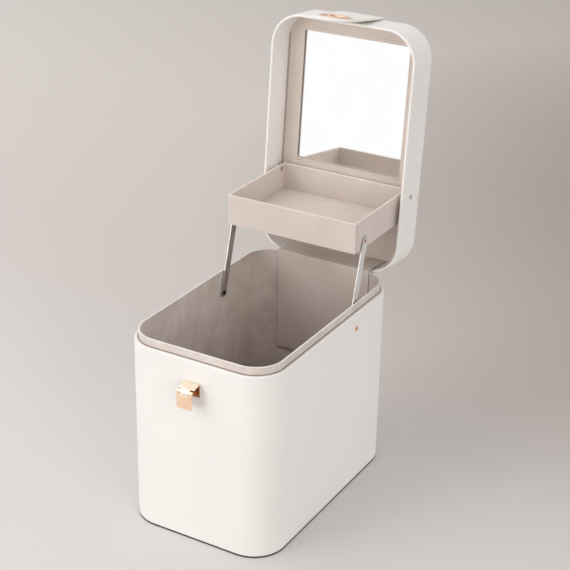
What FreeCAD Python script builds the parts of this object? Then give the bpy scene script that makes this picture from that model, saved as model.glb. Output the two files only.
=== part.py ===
import FreeCAD, Part
import math
import os
import re
import Sketcher

# A covered storage case with a hinged lid, a tray that lifts out as the lid opens, a mirror
# in the lid, a bracket lock with a strap, and a carry handle on the lid.
#
# Frame: millimetres, +Z up, +X to the right of someone facing the lock, +Y to the back.
# The origin is the middle of the underside.  The model stands open: lid past upright on its
# stop, tray raised level.  Lid pieces are drawn shut and then swung open about the hinge.
#
# Linkage: the lid hinge, the tray's pivots in the lid, the arms' pivots in the case and the
# arms' pivots on the tray are the corners of a parallelogram, so the tray stays level.

SIZES = [
    # case
    ("case_width", 180, "outside width"),
    ("case_length", 280, "outside, front to back"),
    ("case_height", 217, "floor to the parting plane"),
    ("case_corner", 37, "outside radius of the upright corners"),
    ("shell_wall", 4.2, "board and covering of the case"),
    ("shell_floor", 3, "bottom board"),
    ("shell_lip", 1.8, "rounding of the wall's upper edges"),
    ("shell_foot", 1.2, "rounding of the lower edge"),
    ("cover_thick", 1.6, "dark cover under the base"),
    ("cover_inset", 3, "cover's edge behind the case's side"),
    ("seat_gap", 0.1, "room between a lining piece and its board"),
    ("liner_wall", 2, "lined board inside the case"),
    ("collar_rise", 9, "liner above the parting plane"),
    ("collar_lip", 0.9, "rounding of the collar"),
    ("floor_pad_thick", 2.2, "lining on the floor"),
    ("floor_pad_edge", 0.7, "rounding of the lining's upper edge"),
    # lid
    ("lid_depth", 46, "outside depth"),
    ("lid_wall", 3, "side walls"),
    ("lid_top", 3, "top board"),
    ("lid_edge", 3.6, "outer rounding of the top"),
    ("lid_lip", 1.4, "rounding of the rim"),
    ("hole_floor", 0.5, "board left under a screw's blind hole"),
    ("lid_open", 94.8, "degrees from shut to the stop"),
    ("hinge_out", 2.2, "hinge axis behind the back wall"),
    ("hinge_up", 2.9, "hinge axis above the parting plane"),
    ("panel_thick", 7, "mirror panel"),
    ("mirror_width", 134, "glass"),
    ("mirror_length", 154, "glass"),
    ("mirror_thick", 2.2, "glass"),
    ("mirror_corner", 1.5, "corners of the recess"),
    ("mirror_front", 20.5, "glass to the lid's front wall"),
    ("mirror_sunk", 3.2, "glass below the panel's face"),
    # hinge
    ("leaf_length", 120, "along the hinge"),
    ("leaf_height", 15, "each leaf from the axis to its free edge"),
    ("leaf_thick", 1, "sheet"),
    ("knuckle_radius", 2, "outside"),
    ("knuckle_gap", 0.3, "between knuckles, and around each"),
    ("hinge_pin_radius", 1, "pin"),
    ("running_gap", 0.05, "radial room of a pin in its hole"),
    # lining flap
    ("flap_width", 120, "fabric over the hinge"),
    ("flap_thick", 1, "fabric"),
    ("flap_drop", 130, "reach down the liner"),
    ("flap_start", 3, "lid end of the free stretch, from the rim"),
    # linkage
    ("link_run", 26.5, "hinge to tray pivot, backwards, lid open"),
    ("link_rise", 92.8, "hinge to tray pivot, upwards, lid open"),
    ("arm_pivot_inset", 92.3, "case pivot in front of the back wall"),
    ("arm_pivot_drop", 18.4, "case pivot under the parting plane"),
    ("arm_width", 10.5, "flat bar"),
    ("arm_thick", 1.5, "flat bar"),
    ("arm_edge", 0.4, "rounding of the bar's edges"),
    ("arm_gap", 0.15, "air on each side of an arm"),
    ("open_pivot_gap", 0.15, "radial room at the tray end of an arm"),
    ("arm_pin_radius", 2, "pivot screws"),
    ("arm_head_radius", 2.8, "pivot screws"),
    ("arm_head_thick", 1, "pivot screws"),
    ("washer_radius", 4.5, "beside the arms"),
    ("washer_thick", 0.5, "beside the arms"),
    ("lid_pin_radius", 1.75, "tray's pivots in the lid"),
    ("lid_head_radius", 2.8, "tray's pivots in the lid"),
    ("spacer_radius", 4, "between lid and tray"),
    # tray
    ("tray_depth", 125.5, "front to back"),
    ("tray_height", 34.5, "outside"),
    ("tray_wall", 2.6, "sides"),
    ("tray_floor", 2.5, "bottom"),
    ("tray_corner", 1.6, "upright corners"),
    ("tray_inner_corner", 0.5, "upright corners inside"),
    ("tray_lip", 1.2, "rounding of the rim"),
    ("tray_pivot_back", 10.5, "lid pivot in front of the tray's back"),
    ("tray_pivot_top", 4.3, "lid pivot under the tray's rim"),
    ("tray_pad_thick", 1.5, "lining on the tray's floor"),
    # lock
    ("lock_drop", 28.7, "flap's pin below the parting plane"),
    ("lock_reach", 13.6, "flap's pin in front of the wall"),
    ("lock_width", 19, "bracket"),
    ("lock_sheet", 1.6, "bracket and flap"),
    ("lock_back_up", 5.7, "bracket's top above the pin"),
    ("lock_back_down", 10.3, "bracket's foot below the pin"),
    ("lock_arm_root", 1.9, "bracket's arm where it leaves the plate, along the wall"),
    ("lock_rivet_apart", 9.5, "between the bracket's rivets"),
    ("lock_knuckle", 2, "outside radius at the pin"),
    ("lock_pin_radius", 1, "pin"),
    ("flap_plate_width", 18.5, "hanging plate"),
    ("flap_plate_drop", 19, "pin to the plate's foot"),
    ("flap_plate_round", 2.3, "lower corners"),
    ("flap_eye_width", 7, "plate's own knuckle"),
    # strap
    ("strap_width", 53, "leather"),
    ("strap_thick", 2.2, "leather"),
    ("strap_length", 85.8, "bend to free end"),
    ("strap_round", 22, "corners of the free end"),
    ("strap_lean", 4.2, "degrees off the lid's front wall"),
    ("strap_hold", 32, "reach over the lid's top"),
    ("strap_fold", 3, "rounding where the strap turns down"),
    ("strap_rivet_apart", 36, "between the strap's rivets"),
    ("strap_rivet_back", 22.4, "rivets behind the lid's front wall"),
    ("strap_bend_drop", 5, "bend below the lid's top"),
    ("strap_off", 1.7, "middle of the leather off the wall, at the bend"),
    ("eyelet_along", 61.5, "eyelet's middle from the bend"),
    ("eyelet_width", 38.5, "flange"),
    ("eyelet_height", 27, "flange"),
    ("eyelet_open_width", 30.5, "opening"),
    ("eyelet_round", 13, "corners of the flange"),
    ("eyelet_open_height", 20, "opening"),
    ("eyelet_open_round", 9.5, "corners of the opening"),
    ("eyelet_thick", 1, "flange and neck"),
    ("rivet_radius", 2.6, "domed heads"),
    ("rivet_thick", 1, "domed heads"),
    ("rivet_shank", 1.2, "radius"),
    # handle
    ("handle_span", 124, "between the middles of the mounts"),
    ("handle_axis_up", 7.5, "pivots above the lid"),
    ("handle_rise", 27, "arch above its ends"),
    ("grip_width", 12, "padded leather"),
    ("grip_thick", 9, "padded leather"),
    ("grip_round", 3.8, "corners of the grip's section"),
    ("grip_spare", 8, "degrees of arch cut off at the metal ends"),
    ("ear_thick", 5, "mount, along the pivot"),
    ("ear_radius", 4.5, "mount, around the pivot"),
    ("mount_length", 22, "foot of the mount, across the lid"),
    ("mount_width", 14, "foot of the mount, along the lid"),
    ("mount_thick", 1.6, "foot of the mount"),
    ("mount_margin", 1, "foot's metal outside a screw's head"),
    ("cap_thick", 5, "metal end of the grip"),
    ("cap_up", 12.5, "metal end above the pivot"),
    ("cap_radius", 5.6, "metal end around the pivot"),
    ("handle_pin_radius", 2, "pivots"),
]

doc = FreeCAD.newDocument("storage_case")
sheet = doc.addObject("Spreadsheet::Sheet", "Sizes")
for row, (alias, value, meaning) in enumerate(SIZES, start=1):
    sheet.set(f"A{row}", alias)
    sheet.set(f"B{row}", str(value))
    sheet.set(f"C{row}", meaning)
    sheet.setAlias(f"B{row}", alias)
doc.recompute()

ALIASES = {alias for alias, value, meaning in SIZES}
SIDES = {"left": -1, "right": 1}
AXIS_TURN = {"X": FreeCAD.Rotation(FreeCAD.Vector(0, 1, 0), 90),
             "Y": FreeCAD.Rotation(FreeCAD.Vector(1, 0, 0), -90),
             "Z": FreeCAD.Rotation()}

# Places that many pieces share, as expressions in the sheet's words.
HINGE_Y = "(case_length / 2 + hinge_out)"
HINGE_Z = "(case_height + hinge_up)"
LID_PIVOT_Y = f"({HINGE_Y} + link_run)"
LID_PIVOT_Z = f"({HINGE_Z} + link_rise)"
CASE_PIVOT_Y = "(case_length / 2 - arm_pivot_inset)"
CASE_PIVOT_Z = "(case_height - arm_pivot_drop)"
TRAY_PIVOT_Y = f"({CASE_PIVOT_Y} + link_run)"
TRAY_PIVOT_Z = f"({CASE_PIVOT_Z} + link_rise)"
SHUT_PIVOT_Y = f"({HINGE_Y} + link_run * cos(lid_open) - link_rise * sin(lid_open))"
SHUT_PIVOT_Z = f"({HINGE_Z} + link_run * sin(lid_open) + link_rise * cos(lid_open))"
LID_TOP_Z = "(case_height + lid_depth)"
PANEL_TOP_Z = f"({LID_TOP_Z} - lid_top - seat_gap)"
LINER_X = "(case_width / 2 - shell_wall - seat_gap - liner_wall)"
LINER_Y = "(case_length / 2 - shell_wall - seat_gap - liner_wall)"
COLLAR_Z = "(case_height + collar_rise)"
# From the liner inwards: washer, air, arm, air, washer, tray side.
ARM_X = f"({LINER_X} - washer_thick - arm_gap - arm_thick)"
TRAY_X = f"({ARM_X} - arm_gap - washer_thick)"
TRAY_BACK_Y = f"({LID_PIVOT_Y} + tray_pivot_back)"
TRAY_BASE_Z = f"({LID_PIVOT_Z} + tray_pivot_top - tray_height)"
LOCK_Y = "(-case_length / 2 - lock_reach)"
LOCK_Z = "(case_height - lock_drop)"
HANDLE_Z = f"({LID_TOP_Z} + handle_axis_up)"
FOOT_SCREW_X = "(mount_length / 2 - rivet_radius - mount_margin)"
MIRROR_Y = "(lid_wall + mirror_front + mirror_length / 2 - case_length / 2)"

nodes = {}


def words(text):
    """An expression with the sheet's name put before each of its aliases."""
    return re.sub(r"[a-z_]+", lambda found: "Sizes." * (found[0] in ALIASES) + found[0], str(text))


def number(text):
    """The present value of an expression."""
    return float(sheet.evalExpression(words(text)))


def tie(thing, prop, text):
    """Binds one property to the sheet."""
    thing.setExpression(prop, words(text))


def place(thing, x, y, z):
    """Binds the three coordinates of an object's origin."""
    for letter, text in zip("xyz", (x, y, z)):
        tie(thing, f"Placement.Base.{letter}", text)
    return thing


def node(name, thing):
    """Makes an object one of the exported sub-parts."""
    thing.Label = name
    nodes[name] = thing
    return thing


def swing_open(thing, x="0", y="0", z="0", lean="0"):
    """Turns an object, drawn shut about the point (x, y, z), with the lid about the hinge."""
    thing.Placement = FreeCAD.Placement(FreeCAD.Vector(), FreeCAD.Rotation(FreeCAD.Vector(-1, 0, 0), 1))
    tie(thing, "Placement.Rotation.Angle", f"lid_open + {lean}")
    back = f"({y} - {HINGE_Y})"
    up = f"({z} - {HINGE_Z})"
    return place(thing, x,
                 f"{HINGE_Y} + {back} * cos(lid_open) + {up} * sin(lid_open)",
                 f"{HINGE_Z} - {back} * sin(lid_open) + {up} * cos(lid_open)")


# ---- Part primitives ----

def block(width, length, height, x, y, z):
    """A box whose lowest corner is at (x, y, z)."""
    solid = doc.addObject("Part::Box", "block")
    tie(solid, "Length", width)
    tie(solid, "Width", length)
    tie(solid, "Height", height)
    return place(solid, x, y, z)


def rod(axis, radius, length, x, y, z):
    """A cylinder from (x, y, z) along one of the axes."""
    solid = doc.addObject("Part::Cylinder", "rod")
    tie(solid, "Radius", radius)
    tie(solid, "Height", length)
    solid.Placement.Rotation = AXIS_TURN[axis]
    return place(solid, x, y, z)


def side_rod(side, radius, inner, outer, y, z):
    """A cylinder along X on one side of the middle, from |x| = inner to |x| = outer."""
    start = inner if side > 0 else f"-({outer})"
    return rod("X", radius, f"({outer}) - ({inner})", start, y, z)


def join(parts):
    """One shape from several; solids that do not touch stay separate."""
    whole = doc.addObject("Part::MultiFuse", "join")
    whole.Shapes = parts
    return whole


def cut(base, tools):
    """A shape with others taken out of it."""
    left = doc.addObject("Part::Cut", "cut")
    left.Base = base
    left.Tool = tools[0] if len(tools) == 1 else join(tools)
    return left


# ---- PartDesign ----

def new_body(name):
    """An empty body, already listed as a node."""
    return node(name, doc.addObject("PartDesign::Body", name))


def draw_on(body, role, lift="0"):
    """A sketch on one of the body's own planes, raised along the plane's normal."""
    drawing = body.newObject("Sketcher::SketchObject", "drawing")
    plane = next(item for item in body.Origin.OriginFeatures if item.Role == role)
    drawing.AttachmentSupport = [(plane, "")]
    drawing.MapMode = "FlatFace"
    tie(drawing, "AttachmentOffset.Base.z", lift)
    return drawing


def fix(drawing, kind, places, text):
    """Adds a dimension to a sketch and binds it."""
    index = drawing.addConstraint(Sketcher.Constraint(kind, *places, number(text)))
    tie(drawing, f"Constraints[{index}]", text)


def rounded_outline(drawing, width, length, radius, across="0", along="0"):
    """A rectangle with four equal round corners, its middle at (across, along)."""
    half_w, half_l, corner = number(width) / 2, number(length) / 2, number(radius)
    mid_x, mid_y = number(across), number(along)
    first = drawing.GeometryCount
    corners = [(1, -1), (1, 1), (-1, 1), (-1, -1)]
    for index, (sign_x, sign_y) in enumerate(corners):
        last_x, last_y = corners[index - 1]
        turn = math.pi / 2 * (index - 1)
        start = FreeCAD.Vector(mid_x + last_x * half_w, mid_y + last_y * half_l, 0)
        end = FreeCAD.Vector(mid_x + sign_x * half_w, mid_y + sign_y * half_l, 0)
        step = (end - start).normalize() * corner
        drawing.addGeometry(Part.LineSegment(start + step, end - step))
        centre = FreeCAD.Vector(mid_x + sign_x * (half_w - corner), mid_y + sign_y * (half_l - corner), 0)
        circle = Part.Circle(centre, FreeCAD.Vector(0, 0, 1), corner)
        drawing.addGeometry(Part.ArcOfCircle(circle, turn, turn + math.pi / 2))
    for index in range(8):
        drawing.addConstraint(Sketcher.Constraint("Tangent", first + index, 2, first + (index + 1) % 8, 1))
    for index, direction in enumerate(("Horizontal", "Vertical", "Horizontal", "Vertical")):
        drawing.addConstraint(Sketcher.Constraint(direction, first + 2 * index))
    for index in (3, 5, 7):
        drawing.addConstraint(Sketcher.Constraint("Equal", first + 1, first + index))
    fix(drawing, "Radius", (first + 1,), radius)
    fix(drawing, "DistanceX", (-1, 1, first + 2, 1), f"{across} + ({width}) / 2")
    fix(drawing, "DistanceX", (-1, 1, first + 6, 1), f"{across} - ({width}) / 2")
    fix(drawing, "DistanceY", (-1, 1, first, 1), f"{along} - ({length}) / 2")
    fix(drawing, "DistanceY", (-1, 1, first + 4, 1), f"{along} + ({length}) / 2")


def bar_outline(drawing, width, reach):
    """A bar with round ends about the origin and the point (0, reach)."""
    half = number(width) / 2
    upright = FreeCAD.Vector(0, 0, 1)
    right = FreeCAD.Vector(half, 0, 0)
    rise = FreeCAD.Vector(0, number(reach), 0)
    drawing.addGeometry(Part.LineSegment(right, right + rise))
    drawing.addGeometry(Part.ArcOfCircle(Part.Circle(rise, upright, half), 0, math.pi))
    drawing.addGeometry(Part.LineSegment(rise - right, -right))
    drawing.addGeometry(Part.ArcOfCircle(Part.Circle(rise * 0, upright, half), math.pi, 2 * math.pi))
    for index in range(4):
        drawing.addConstraint(Sketcher.Constraint("Tangent", index, 2, (index + 1) % 4, 1))
    drawing.addConstraint(Sketcher.Constraint("Equal", 1, 3))
    drawing.addConstraint(Sketcher.Constraint("Coincident", 3, 3, -1, 1))
    drawing.addConstraint(Sketcher.Constraint("PointOnObject", 1, 3, -2))
    fix(drawing, "DistanceY", (-1, 1, 1, 3), reach)
    fix(drawing, "Radius", (3,), f"{width} / 2")


def polygon(drawing, points):
    """A closed outline of straight lines through (across, along) pairs."""
    corners = [FreeCAD.Vector(number(across), number(along), 0) for across, along in points]
    for index, corner in enumerate(corners):
        drawing.addGeometry(Part.LineSegment(corner, corners[(index + 1) % len(corners)]))
    for index, (across, along) in enumerate(points):
        drawing.addConstraint(Sketcher.Constraint("Coincident", index, 2, (index + 1) % len(points), 1))
        fix(drawing, "DistanceX", (-1, 1, index, 1), across)
        fix(drawing, "DistanceY", (-1, 1, index, 1), along)


def circle(drawing, across, along, radius):
    """A circle in a sketch."""
    centre = FreeCAD.Vector(number(across), number(along), 0)
    index = drawing.addGeometry(Part.Circle(centre, FreeCAD.Vector(0, 0, 1), number(radius)))
    fix(drawing, "DistanceX", (-1, 1, index, 3), across)
    fix(drawing, "DistanceY", (-1, 1, index, 3), along)
    fix(drawing, "Radius", (index,), radius)


def pad(body, drawing, length, side="One side", reverse=False):
    """Raises a sketch."""
    raised = body.newObject("PartDesign::Pad", "pad")
    raised.Profile = drawing
    raised.SideType = side
    raised.Reversed = reverse
    tie(raised, "Length", length)
    doc.recompute()
    return raised


def pocket(body, drawing, length, side="One side", reverse=False):
    """Sinks a sketch, and makes sure that it has taken something away."""
    before = body.Shape.Volume
    sunk = body.newObject("PartDesign::Pocket", "pocket")
    sunk.Profile = drawing
    sunk.SideType = side
    sunk.Reversed = reverse
    tie(sunk, "Length", length)
    doc.recompute()
    if not body.Shape.Volume < before - 1e-6:
        raise RuntimeError(f"a pocket of {body.Label} cuts nothing")
    return sunk


def round_off(body, radius, wanted):
    """Fillets those edges of a body's present shape that a test picks."""
    base = body.Tip
    names = [f"Edge{index}" for index, edge in enumerate(base.Shape.Edges, start=1) if wanted(edge)]
    rounding = body.newObject("PartDesign::Fillet", "rounding")
    rounding.Base = (base, names)
    tie(rounding, "Radius", radius)
    doc.recompute()
    return rounding


def all_at(edge, axis, level):
    """True for an edge that lies wholly at one level of an axis (0, 1, 2 for X, Y, Z)."""
    bounds = edge.BoundBox
    low, high = ((bounds.XMin, bounds.XMax), (bounds.YMin, bounds.YMax), (bounds.ZMin, bounds.ZMax))[axis]
    return abs(low - level) < 1e-4 and abs(high - level) < 1e-4


def side_holes(body, y, z, radius, width):
    """One round hole through both sides of a body."""
    drawing = draw_on(body, "YZ_Plane")
    circle(drawing, y, z, radius)
    return pocket(body, drawing, width, "Symmetric")


# ---- Case ----

def case_shell():
    """The covered box: four walls and a bottom in one shell."""
    body = new_body("case_shell")
    outer = draw_on(body, "XY_Plane", "cover_thick")
    rounded_outline(outer, "case_width", "case_length", "case_corner")
    pad(body, outer, "case_height - cover_thick")
    foot = number("cover_thick")
    round_off(body, "shell_foot", lambda edge: all_at(edge, 2, foot))
    inner = draw_on(body, "XY_Plane", "cover_thick + shell_floor")
    rounded_outline(inner, "case_width - 2 * shell_wall", "case_length - 2 * shell_wall",
                    "case_corner - shell_wall")
    pocket(body, inner, "case_height", reverse=True)
    rim = number("case_height")
    round_off(body, "shell_lip", lambda edge: all_at(edge, 2, rim))
    side_holes(body, CASE_PIVOT_Y, CASE_PIVOT_Z, "arm_pin_radius", "2 * case_width")


def base_cover():
    """The dark board that hides the turned-in covering under the case."""
    body = new_body("base_cover")
    drawing = draw_on(body, "XY_Plane")
    rounded_outline(drawing, "case_width - 2 * cover_inset", "case_length - 2 * cover_inset",
                    "case_corner - cover_inset")
    pad(body, drawing, "cover_thick")


def case_liner():
    """The lined inner wall, whose upper edge stands out of the case as a collar."""
    body = new_body("case_liner")
    outer = draw_on(body, "XY_Plane", "cover_thick + shell_floor")
    margin = "(shell_wall + seat_gap)"
    rounded_outline(outer, f"case_width - 2 * {margin}", f"case_length - 2 * {margin}",
                    f"case_corner - {margin}")
    rounded_outline(outer, f"2 * {LINER_X}", f"2 * {LINER_Y}", f"case_corner - {margin} - liner_wall")
    pad(body, outer, f"{COLLAR_Z} - cover_thick - shell_floor")
    rim = number(COLLAR_Z)
    round_off(body, "collar_lip", lambda edge: all_at(edge, 2, rim))
    side_holes(body, CASE_PIVOT_Y, CASE_PIVOT_Z, "arm_pin_radius", "2 * case_width")


def floor_pad():
    """The lining on the floor of the case."""
    body = new_body("floor_pad")
    drawing = draw_on(body, "XY_Plane", "cover_thick + shell_floor")
    rounded_outline(drawing, f"2 * ({LINER_X} - seat_gap)", f"2 * ({LINER_Y} - seat_gap)",
                    "case_corner - shell_wall - liner_wall - 2 * seat_gap")
    pad(body, drawing, "floor_pad_thick")
    top = number("cover_thick + shell_floor + floor_pad_thick")
    round_off(body, "floor_pad_edge", lambda edge: all_at(edge, 2, top))


# ---- Lid ----

def lid_shell():
    """The lid: side walls and top in one covered shell, open downwards when shut."""
    body = new_body("lid_shell")
    outer = draw_on(body, "XY_Plane", "case_height")
    rounded_outline(outer, "case_width", "case_length", "case_corner")
    pad(body, outer, "lid_depth")
    top = number(LID_TOP_Z)
    round_off(body, "lid_edge", lambda edge: all_at(edge, 2, top))
    inner = draw_on(body, "XY_Plane", "case_height")
    rounded_outline(inner, "case_width - 2 * lid_wall", "case_length - 2 * lid_wall",
                    "case_corner - lid_wall")
    pocket(body, inner, "lid_depth - lid_top", reverse=True)
    rim = number("case_height")
    round_off(body, "lid_lip", lambda edge: all_at(edge, 2, rim))
    side_holes(body, SHUT_PIVOT_Y, SHUT_PIVOT_Z, "lid_pin_radius", "2 * case_width")
    screw_holes = draw_on(body, "XY_Plane", LID_TOP_Z)
    for along in (-1, 1):
        for across in (-1, 1):
            circle(screw_holes, f"{across} * {FOOT_SCREW_X}",
                   f"{along} * handle_span / 2", "rivet_shank")
    pocket(body, screw_holes, "lid_top - hole_floor")
    swing_open(body)


def mirror_panel():
    """The lined board that fills the lid's top, with a recess for the glass."""
    body = new_body("mirror_panel")
    margin = "(lid_wall + seat_gap)"
    outer = draw_on(body, "XY_Plane", f"{PANEL_TOP_Z} - panel_thick")
    rounded_outline(outer, f"case_width - 2 * {margin}", f"case_length - 2 * {margin}",
                    f"case_corner - {margin}")
    pad(body, outer, "panel_thick")
    recess = draw_on(body, "XY_Plane", f"{PANEL_TOP_Z} - panel_thick")
    rounded_outline(recess, "mirror_width + 2 * seat_gap", "mirror_length + 2 * seat_gap",
                    "mirror_corner", "0", MIRROR_Y)
    pocket(body, recess, "mirror_thick + mirror_sunk", reverse=True)
    swing_open(body)


def mirror_glass():
    """The mirror, set a little below the panel's face."""
    body = new_body("mirror_glass")
    drawing = draw_on(body, "XY_Plane", f"{PANEL_TOP_Z} - panel_thick + mirror_sunk")
    rounded_outline(drawing, "mirror_width", "mirror_length", "mirror_corner - seat_gap",
                    "0", MIRROR_Y)
    pad(body, drawing, "mirror_thick")
    swing_open(body)


# ---- Hinge ----

KNUCKLES = 7
PITCH = f"(leaf_length / {KNUCKLES})"
REACH = "(knuckle_radius + knuckle_gap)"


def hinge_leaf(name, own, other, plate_low, neck_low):
    """One leaf: a plate, a neck up to the axis, its own knuckles and room for the others."""
    half = "(leaf_length / 2)"
    plate = block("leaf_length", "leaf_thick", "leaf_height - knuckle_radius",
                  f"-{half}", "case_length / 2", plate_low)
    neck = block("leaf_length", "leaf_thick - knuckle_gap", REACH,
                 f"-{half}", "case_length / 2 + knuckle_gap", neck_low)
    barrels = [rod("X", "knuckle_radius", f"{PITCH} - knuckle_gap",
                   f"-{half} + {PITCH} * {place_no} + knuckle_gap / 2", HINGE_Y, HINGE_Z)
               for place_no in own]
    notches = [block(f"{PITCH} + knuckle_gap", f"2 * {REACH}", f"2 * {REACH}",
                     f"-{half} + {PITCH} * {place_no} - knuckle_gap / 2",
                     f"{HINGE_Y} - {REACH}", f"{HINGE_Z} - {REACH}")
               for place_no in other]
    bore = rod("X", "hinge_pin_radius + running_gap", "2 * leaf_length", "-leaf_length", HINGE_Y, HINGE_Z)
    rivet_holes = [rod("Y", "rivet_shank", "leaf_thick", f"{across} * {PITCH} * 2", "case_length / 2",
                       f"{plate_low} + (leaf_height - knuckle_radius) / 2") for across in (-1, 0, 1)]
    leaf = cut(join([cut(join([plate, neck]), notches)] + barrels), [bore] + rivet_holes)
    return node(name, leaf)


def leaf_rivets(name, plate_low):
    """Domed rivets that hold a leaf against the board."""
    parts = []
    for across in (-1, 0, 1):
        x = f"{across} * {PITCH} * 2"
        z = f"{plate_low} + (leaf_height - knuckle_radius) / 2"
        parts.append(rod("Y", "rivet_shank", "leaf_thick", x, "case_length / 2", z))
        parts.append(rod("Y", "rivet_radius", "rivet_thick", x, "case_length / 2 + leaf_thick", z))
    return node(name, join(parts))


def hinge():
    """A piano hinge on the back of the case and lid."""
    even = range(0, KNUCKLES, 2)
    odd = range(1, KNUCKLES, 2)
    case_plate = f"({HINGE_Z} - leaf_height)"
    lid_plate = f"({HINGE_Z} + knuckle_radius)"
    hinge_leaf("hinge_leaf_case", even, odd, case_plate, f"{HINGE_Z} - {REACH}")
    leaf_rivets("hinge_rivets_case", case_plate)
    swing_open(hinge_leaf("hinge_leaf_lid", odd, even, lid_plate, HINGE_Z))
    swing_open(leaf_rivets("hinge_rivets_lid", lid_plate))
    node("hinge_pin", rod("X", "hinge_pin_radius", "leaf_length", "-leaf_length / 2", HINGE_Y, HINGE_Z))


# ---- Lining flap ----

def ring_behind(body, half_x, half_y, corner, thick, low, height):
    """An upright ring of cloth or board, given by its outer half sizes and corner."""
    drawing = draw_on(body, "XY_Plane", low)
    rounded_outline(drawing, f"2 * {half_x}", f"2 * {half_y}", corner)
    rounded_outline(drawing, f"2 * ({half_x} - {thick})", f"2 * ({half_y} - {thick})", f"{corner} - {thick}")
    pad(body, drawing, height)


def keep_flap(body):
    """Leaves only the flap's width of a ring, at the back."""
    drawing = draw_on(body, "XY_Plane")
    polygon(drawing, [("-case_width", "-case_length"), ("case_width", "-case_length"),
                      ("case_width", "case_length"), ("flap_width / 2", "case_length"),
                      ("flap_width / 2", "0"), ("-flap_width / 2", "0"),
                      ("-flap_width / 2", "case_length"), ("-case_width", "case_length")])
    pocket(body, drawing, "4 * case_height", "Symmetric")


def lid_point(depth, lift):
    """Y and Z, lid open, of a point at a depth from the rim and a lift off the rear wall's inside."""
    back = "(-hinge_out - lid_wall"
    y = f"({HINGE_Y} + {back} - {lift}) * cos(lid_open) + ({depth} - hinge_up) * sin(lid_open))"
    z = f"({HINGE_Z} - {back} - {lift}) * sin(lid_open) + ({depth} - hinge_up) * cos(lid_open))"
    return y, z


def lining_flap():
    """Cloth from the liner over the collar (case), across to the lid, and along the lid."""
    body = new_body("hinge_flap_case")
    corner = "(case_corner - shell_wall - seat_gap - liner_wall)"
    ring_behind(body, f"({LINER_X} - seat_gap)", f"({LINER_Y} - seat_gap)", f"({corner} - seat_gap)",
                "flap_thick", f"{COLLAR_Z} - flap_drop", "flap_drop + seat_gap + flap_thick")
    ring_behind(body, f"({LINER_X} + liner_wall)", f"({LINER_Y} + liner_wall)", f"({corner} + liner_wall)",
                "(liner_wall + seat_gap + flap_thick)", f"{COLLAR_Z} + seat_gap", "flap_thick")
    keep_flap(body)
    body = new_body("hinge_flap_lid")
    inset = "(lid_wall + seat_gap)"
    depth = f"({PANEL_TOP_Z} - panel_thick - case_height)"
    ring_behind(body, f"(case_width / 2 - {inset})", f"(case_length / 2 - {inset})",
                f"(case_corner - {inset})", "flap_thick", "case_height + flap_start",
                f"{depth} - flap_start - seat_gap")
    keep_flap(body)
    swing_open(body)
    body = new_body("hinge_flap_bridge")
    edge_y = f"({LINER_Y} + liner_wall)"
    # The wall's round corners stand this far in front of its middle at the flap's edges.
    past_flat = "(flap_width / 2 - case_width / 2 + case_corner)"
    round_in = "(case_corner - lid_wall)"
    lift = f"({round_in} - sqrt({round_in} * {round_in} - {past_flat} * {past_flat}) + seat_gap)"
    drawing = draw_on(body, "YZ_Plane")
    polygon(drawing, [
        (edge_y, f"{COLLAR_Z} + seat_gap"),
        lid_point("flap_start", lift),
        lid_point("flap_start", f"({lift} + flap_thick)"),
        (edge_y, f"{COLLAR_Z} + seat_gap + flap_thick")])
    pad(body, drawing, "flap_width", "Symmetric")


# ---- Tray and its linkage ----

def tray_shell():
    """The open tray with square corners."""
    body = new_body("tray_shell")
    mid_y = f"({TRAY_BACK_Y} - tray_depth / 2)"
    outer = draw_on(body, "XY_Plane", TRAY_BASE_Z)
    rounded_outline(outer, f"2 * {TRAY_X}", "tray_depth", "tray_corner", "0", mid_y)
    pad(body, outer, "tray_height")
    inner = draw_on(body, "XY_Plane", f"{TRAY_BASE_Z} + tray_floor")
    rounded_outline(inner, f"2 * ({TRAY_X} - tray_wall)", "tray_depth - 2 * tray_wall",
                    "tray_inner_corner", "0", mid_y)
    pocket(body, inner, "tray_height", reverse=True)
    rim = number(f"{TRAY_BASE_Z} + tray_height")
    round_off(body, "tray_lip", lambda edge: all_at(edge, 2, rim))
    side_holes(body, LID_PIVOT_Y, LID_PIVOT_Z, "lid_pin_radius + running_gap", "2 * case_width")
    side_holes(body, TRAY_PIVOT_Y, TRAY_PIVOT_Z, "arm_pin_radius", "2 * case_width")


def tray_pad():
    """The lining on the tray's floor."""
    body = new_body("tray_pad")
    drawing = draw_on(body, "XY_Plane", f"{TRAY_BASE_Z} + tray_floor")
    rounded_outline(drawing, f"2 * ({TRAY_X} - tray_wall - seat_gap)",
                    "tray_depth - 2 * (tray_wall + seat_gap)", "tray_inner_corner",
                    "0", f"({TRAY_BACK_Y} - tray_depth / 2)")
    pad(body, drawing, "tray_pad_thick")


def lift_arm(name, side):
    """A flat bar with round ends, from the case up to the tray."""
    body = new_body(name)
    reach = "sqrt(link_run * link_run + link_rise * link_rise)"
    start = ARM_X if side > 0 else f"-{ARM_X} - arm_thick"
    outline = draw_on(body, "YZ_Plane")
    bar_outline(outline, "arm_width", reach)
    pad(body, outline, "arm_thick")
    lower = draw_on(body, "YZ_Plane")
    circle(lower, "0", "0", "arm_pin_radius + running_gap")
    pocket(body, lower, "3 * arm_thick", "Symmetric")
    upper = draw_on(body, "YZ_Plane")
    circle(upper, "0", reach, "arm_pin_radius + open_pivot_gap")
    pocket(body, upper, "3 * arm_thick", "Symmetric")
    edges = number("arm_thick")
    round_off(body, "arm_edge", lambda edge: all_at(edge, 0, 0) or all_at(edge, 0, edges))
    body.Placement = FreeCAD.Placement(FreeCAD.Vector(), FreeCAD.Rotation(FreeCAD.Vector(-1, 0, 0), 1))
    tie(body, "Placement.Rotation.Angle", "atan(link_run / link_rise)")
    place(body, start, CASE_PIVOT_Y, CASE_PIVOT_Z)


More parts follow.
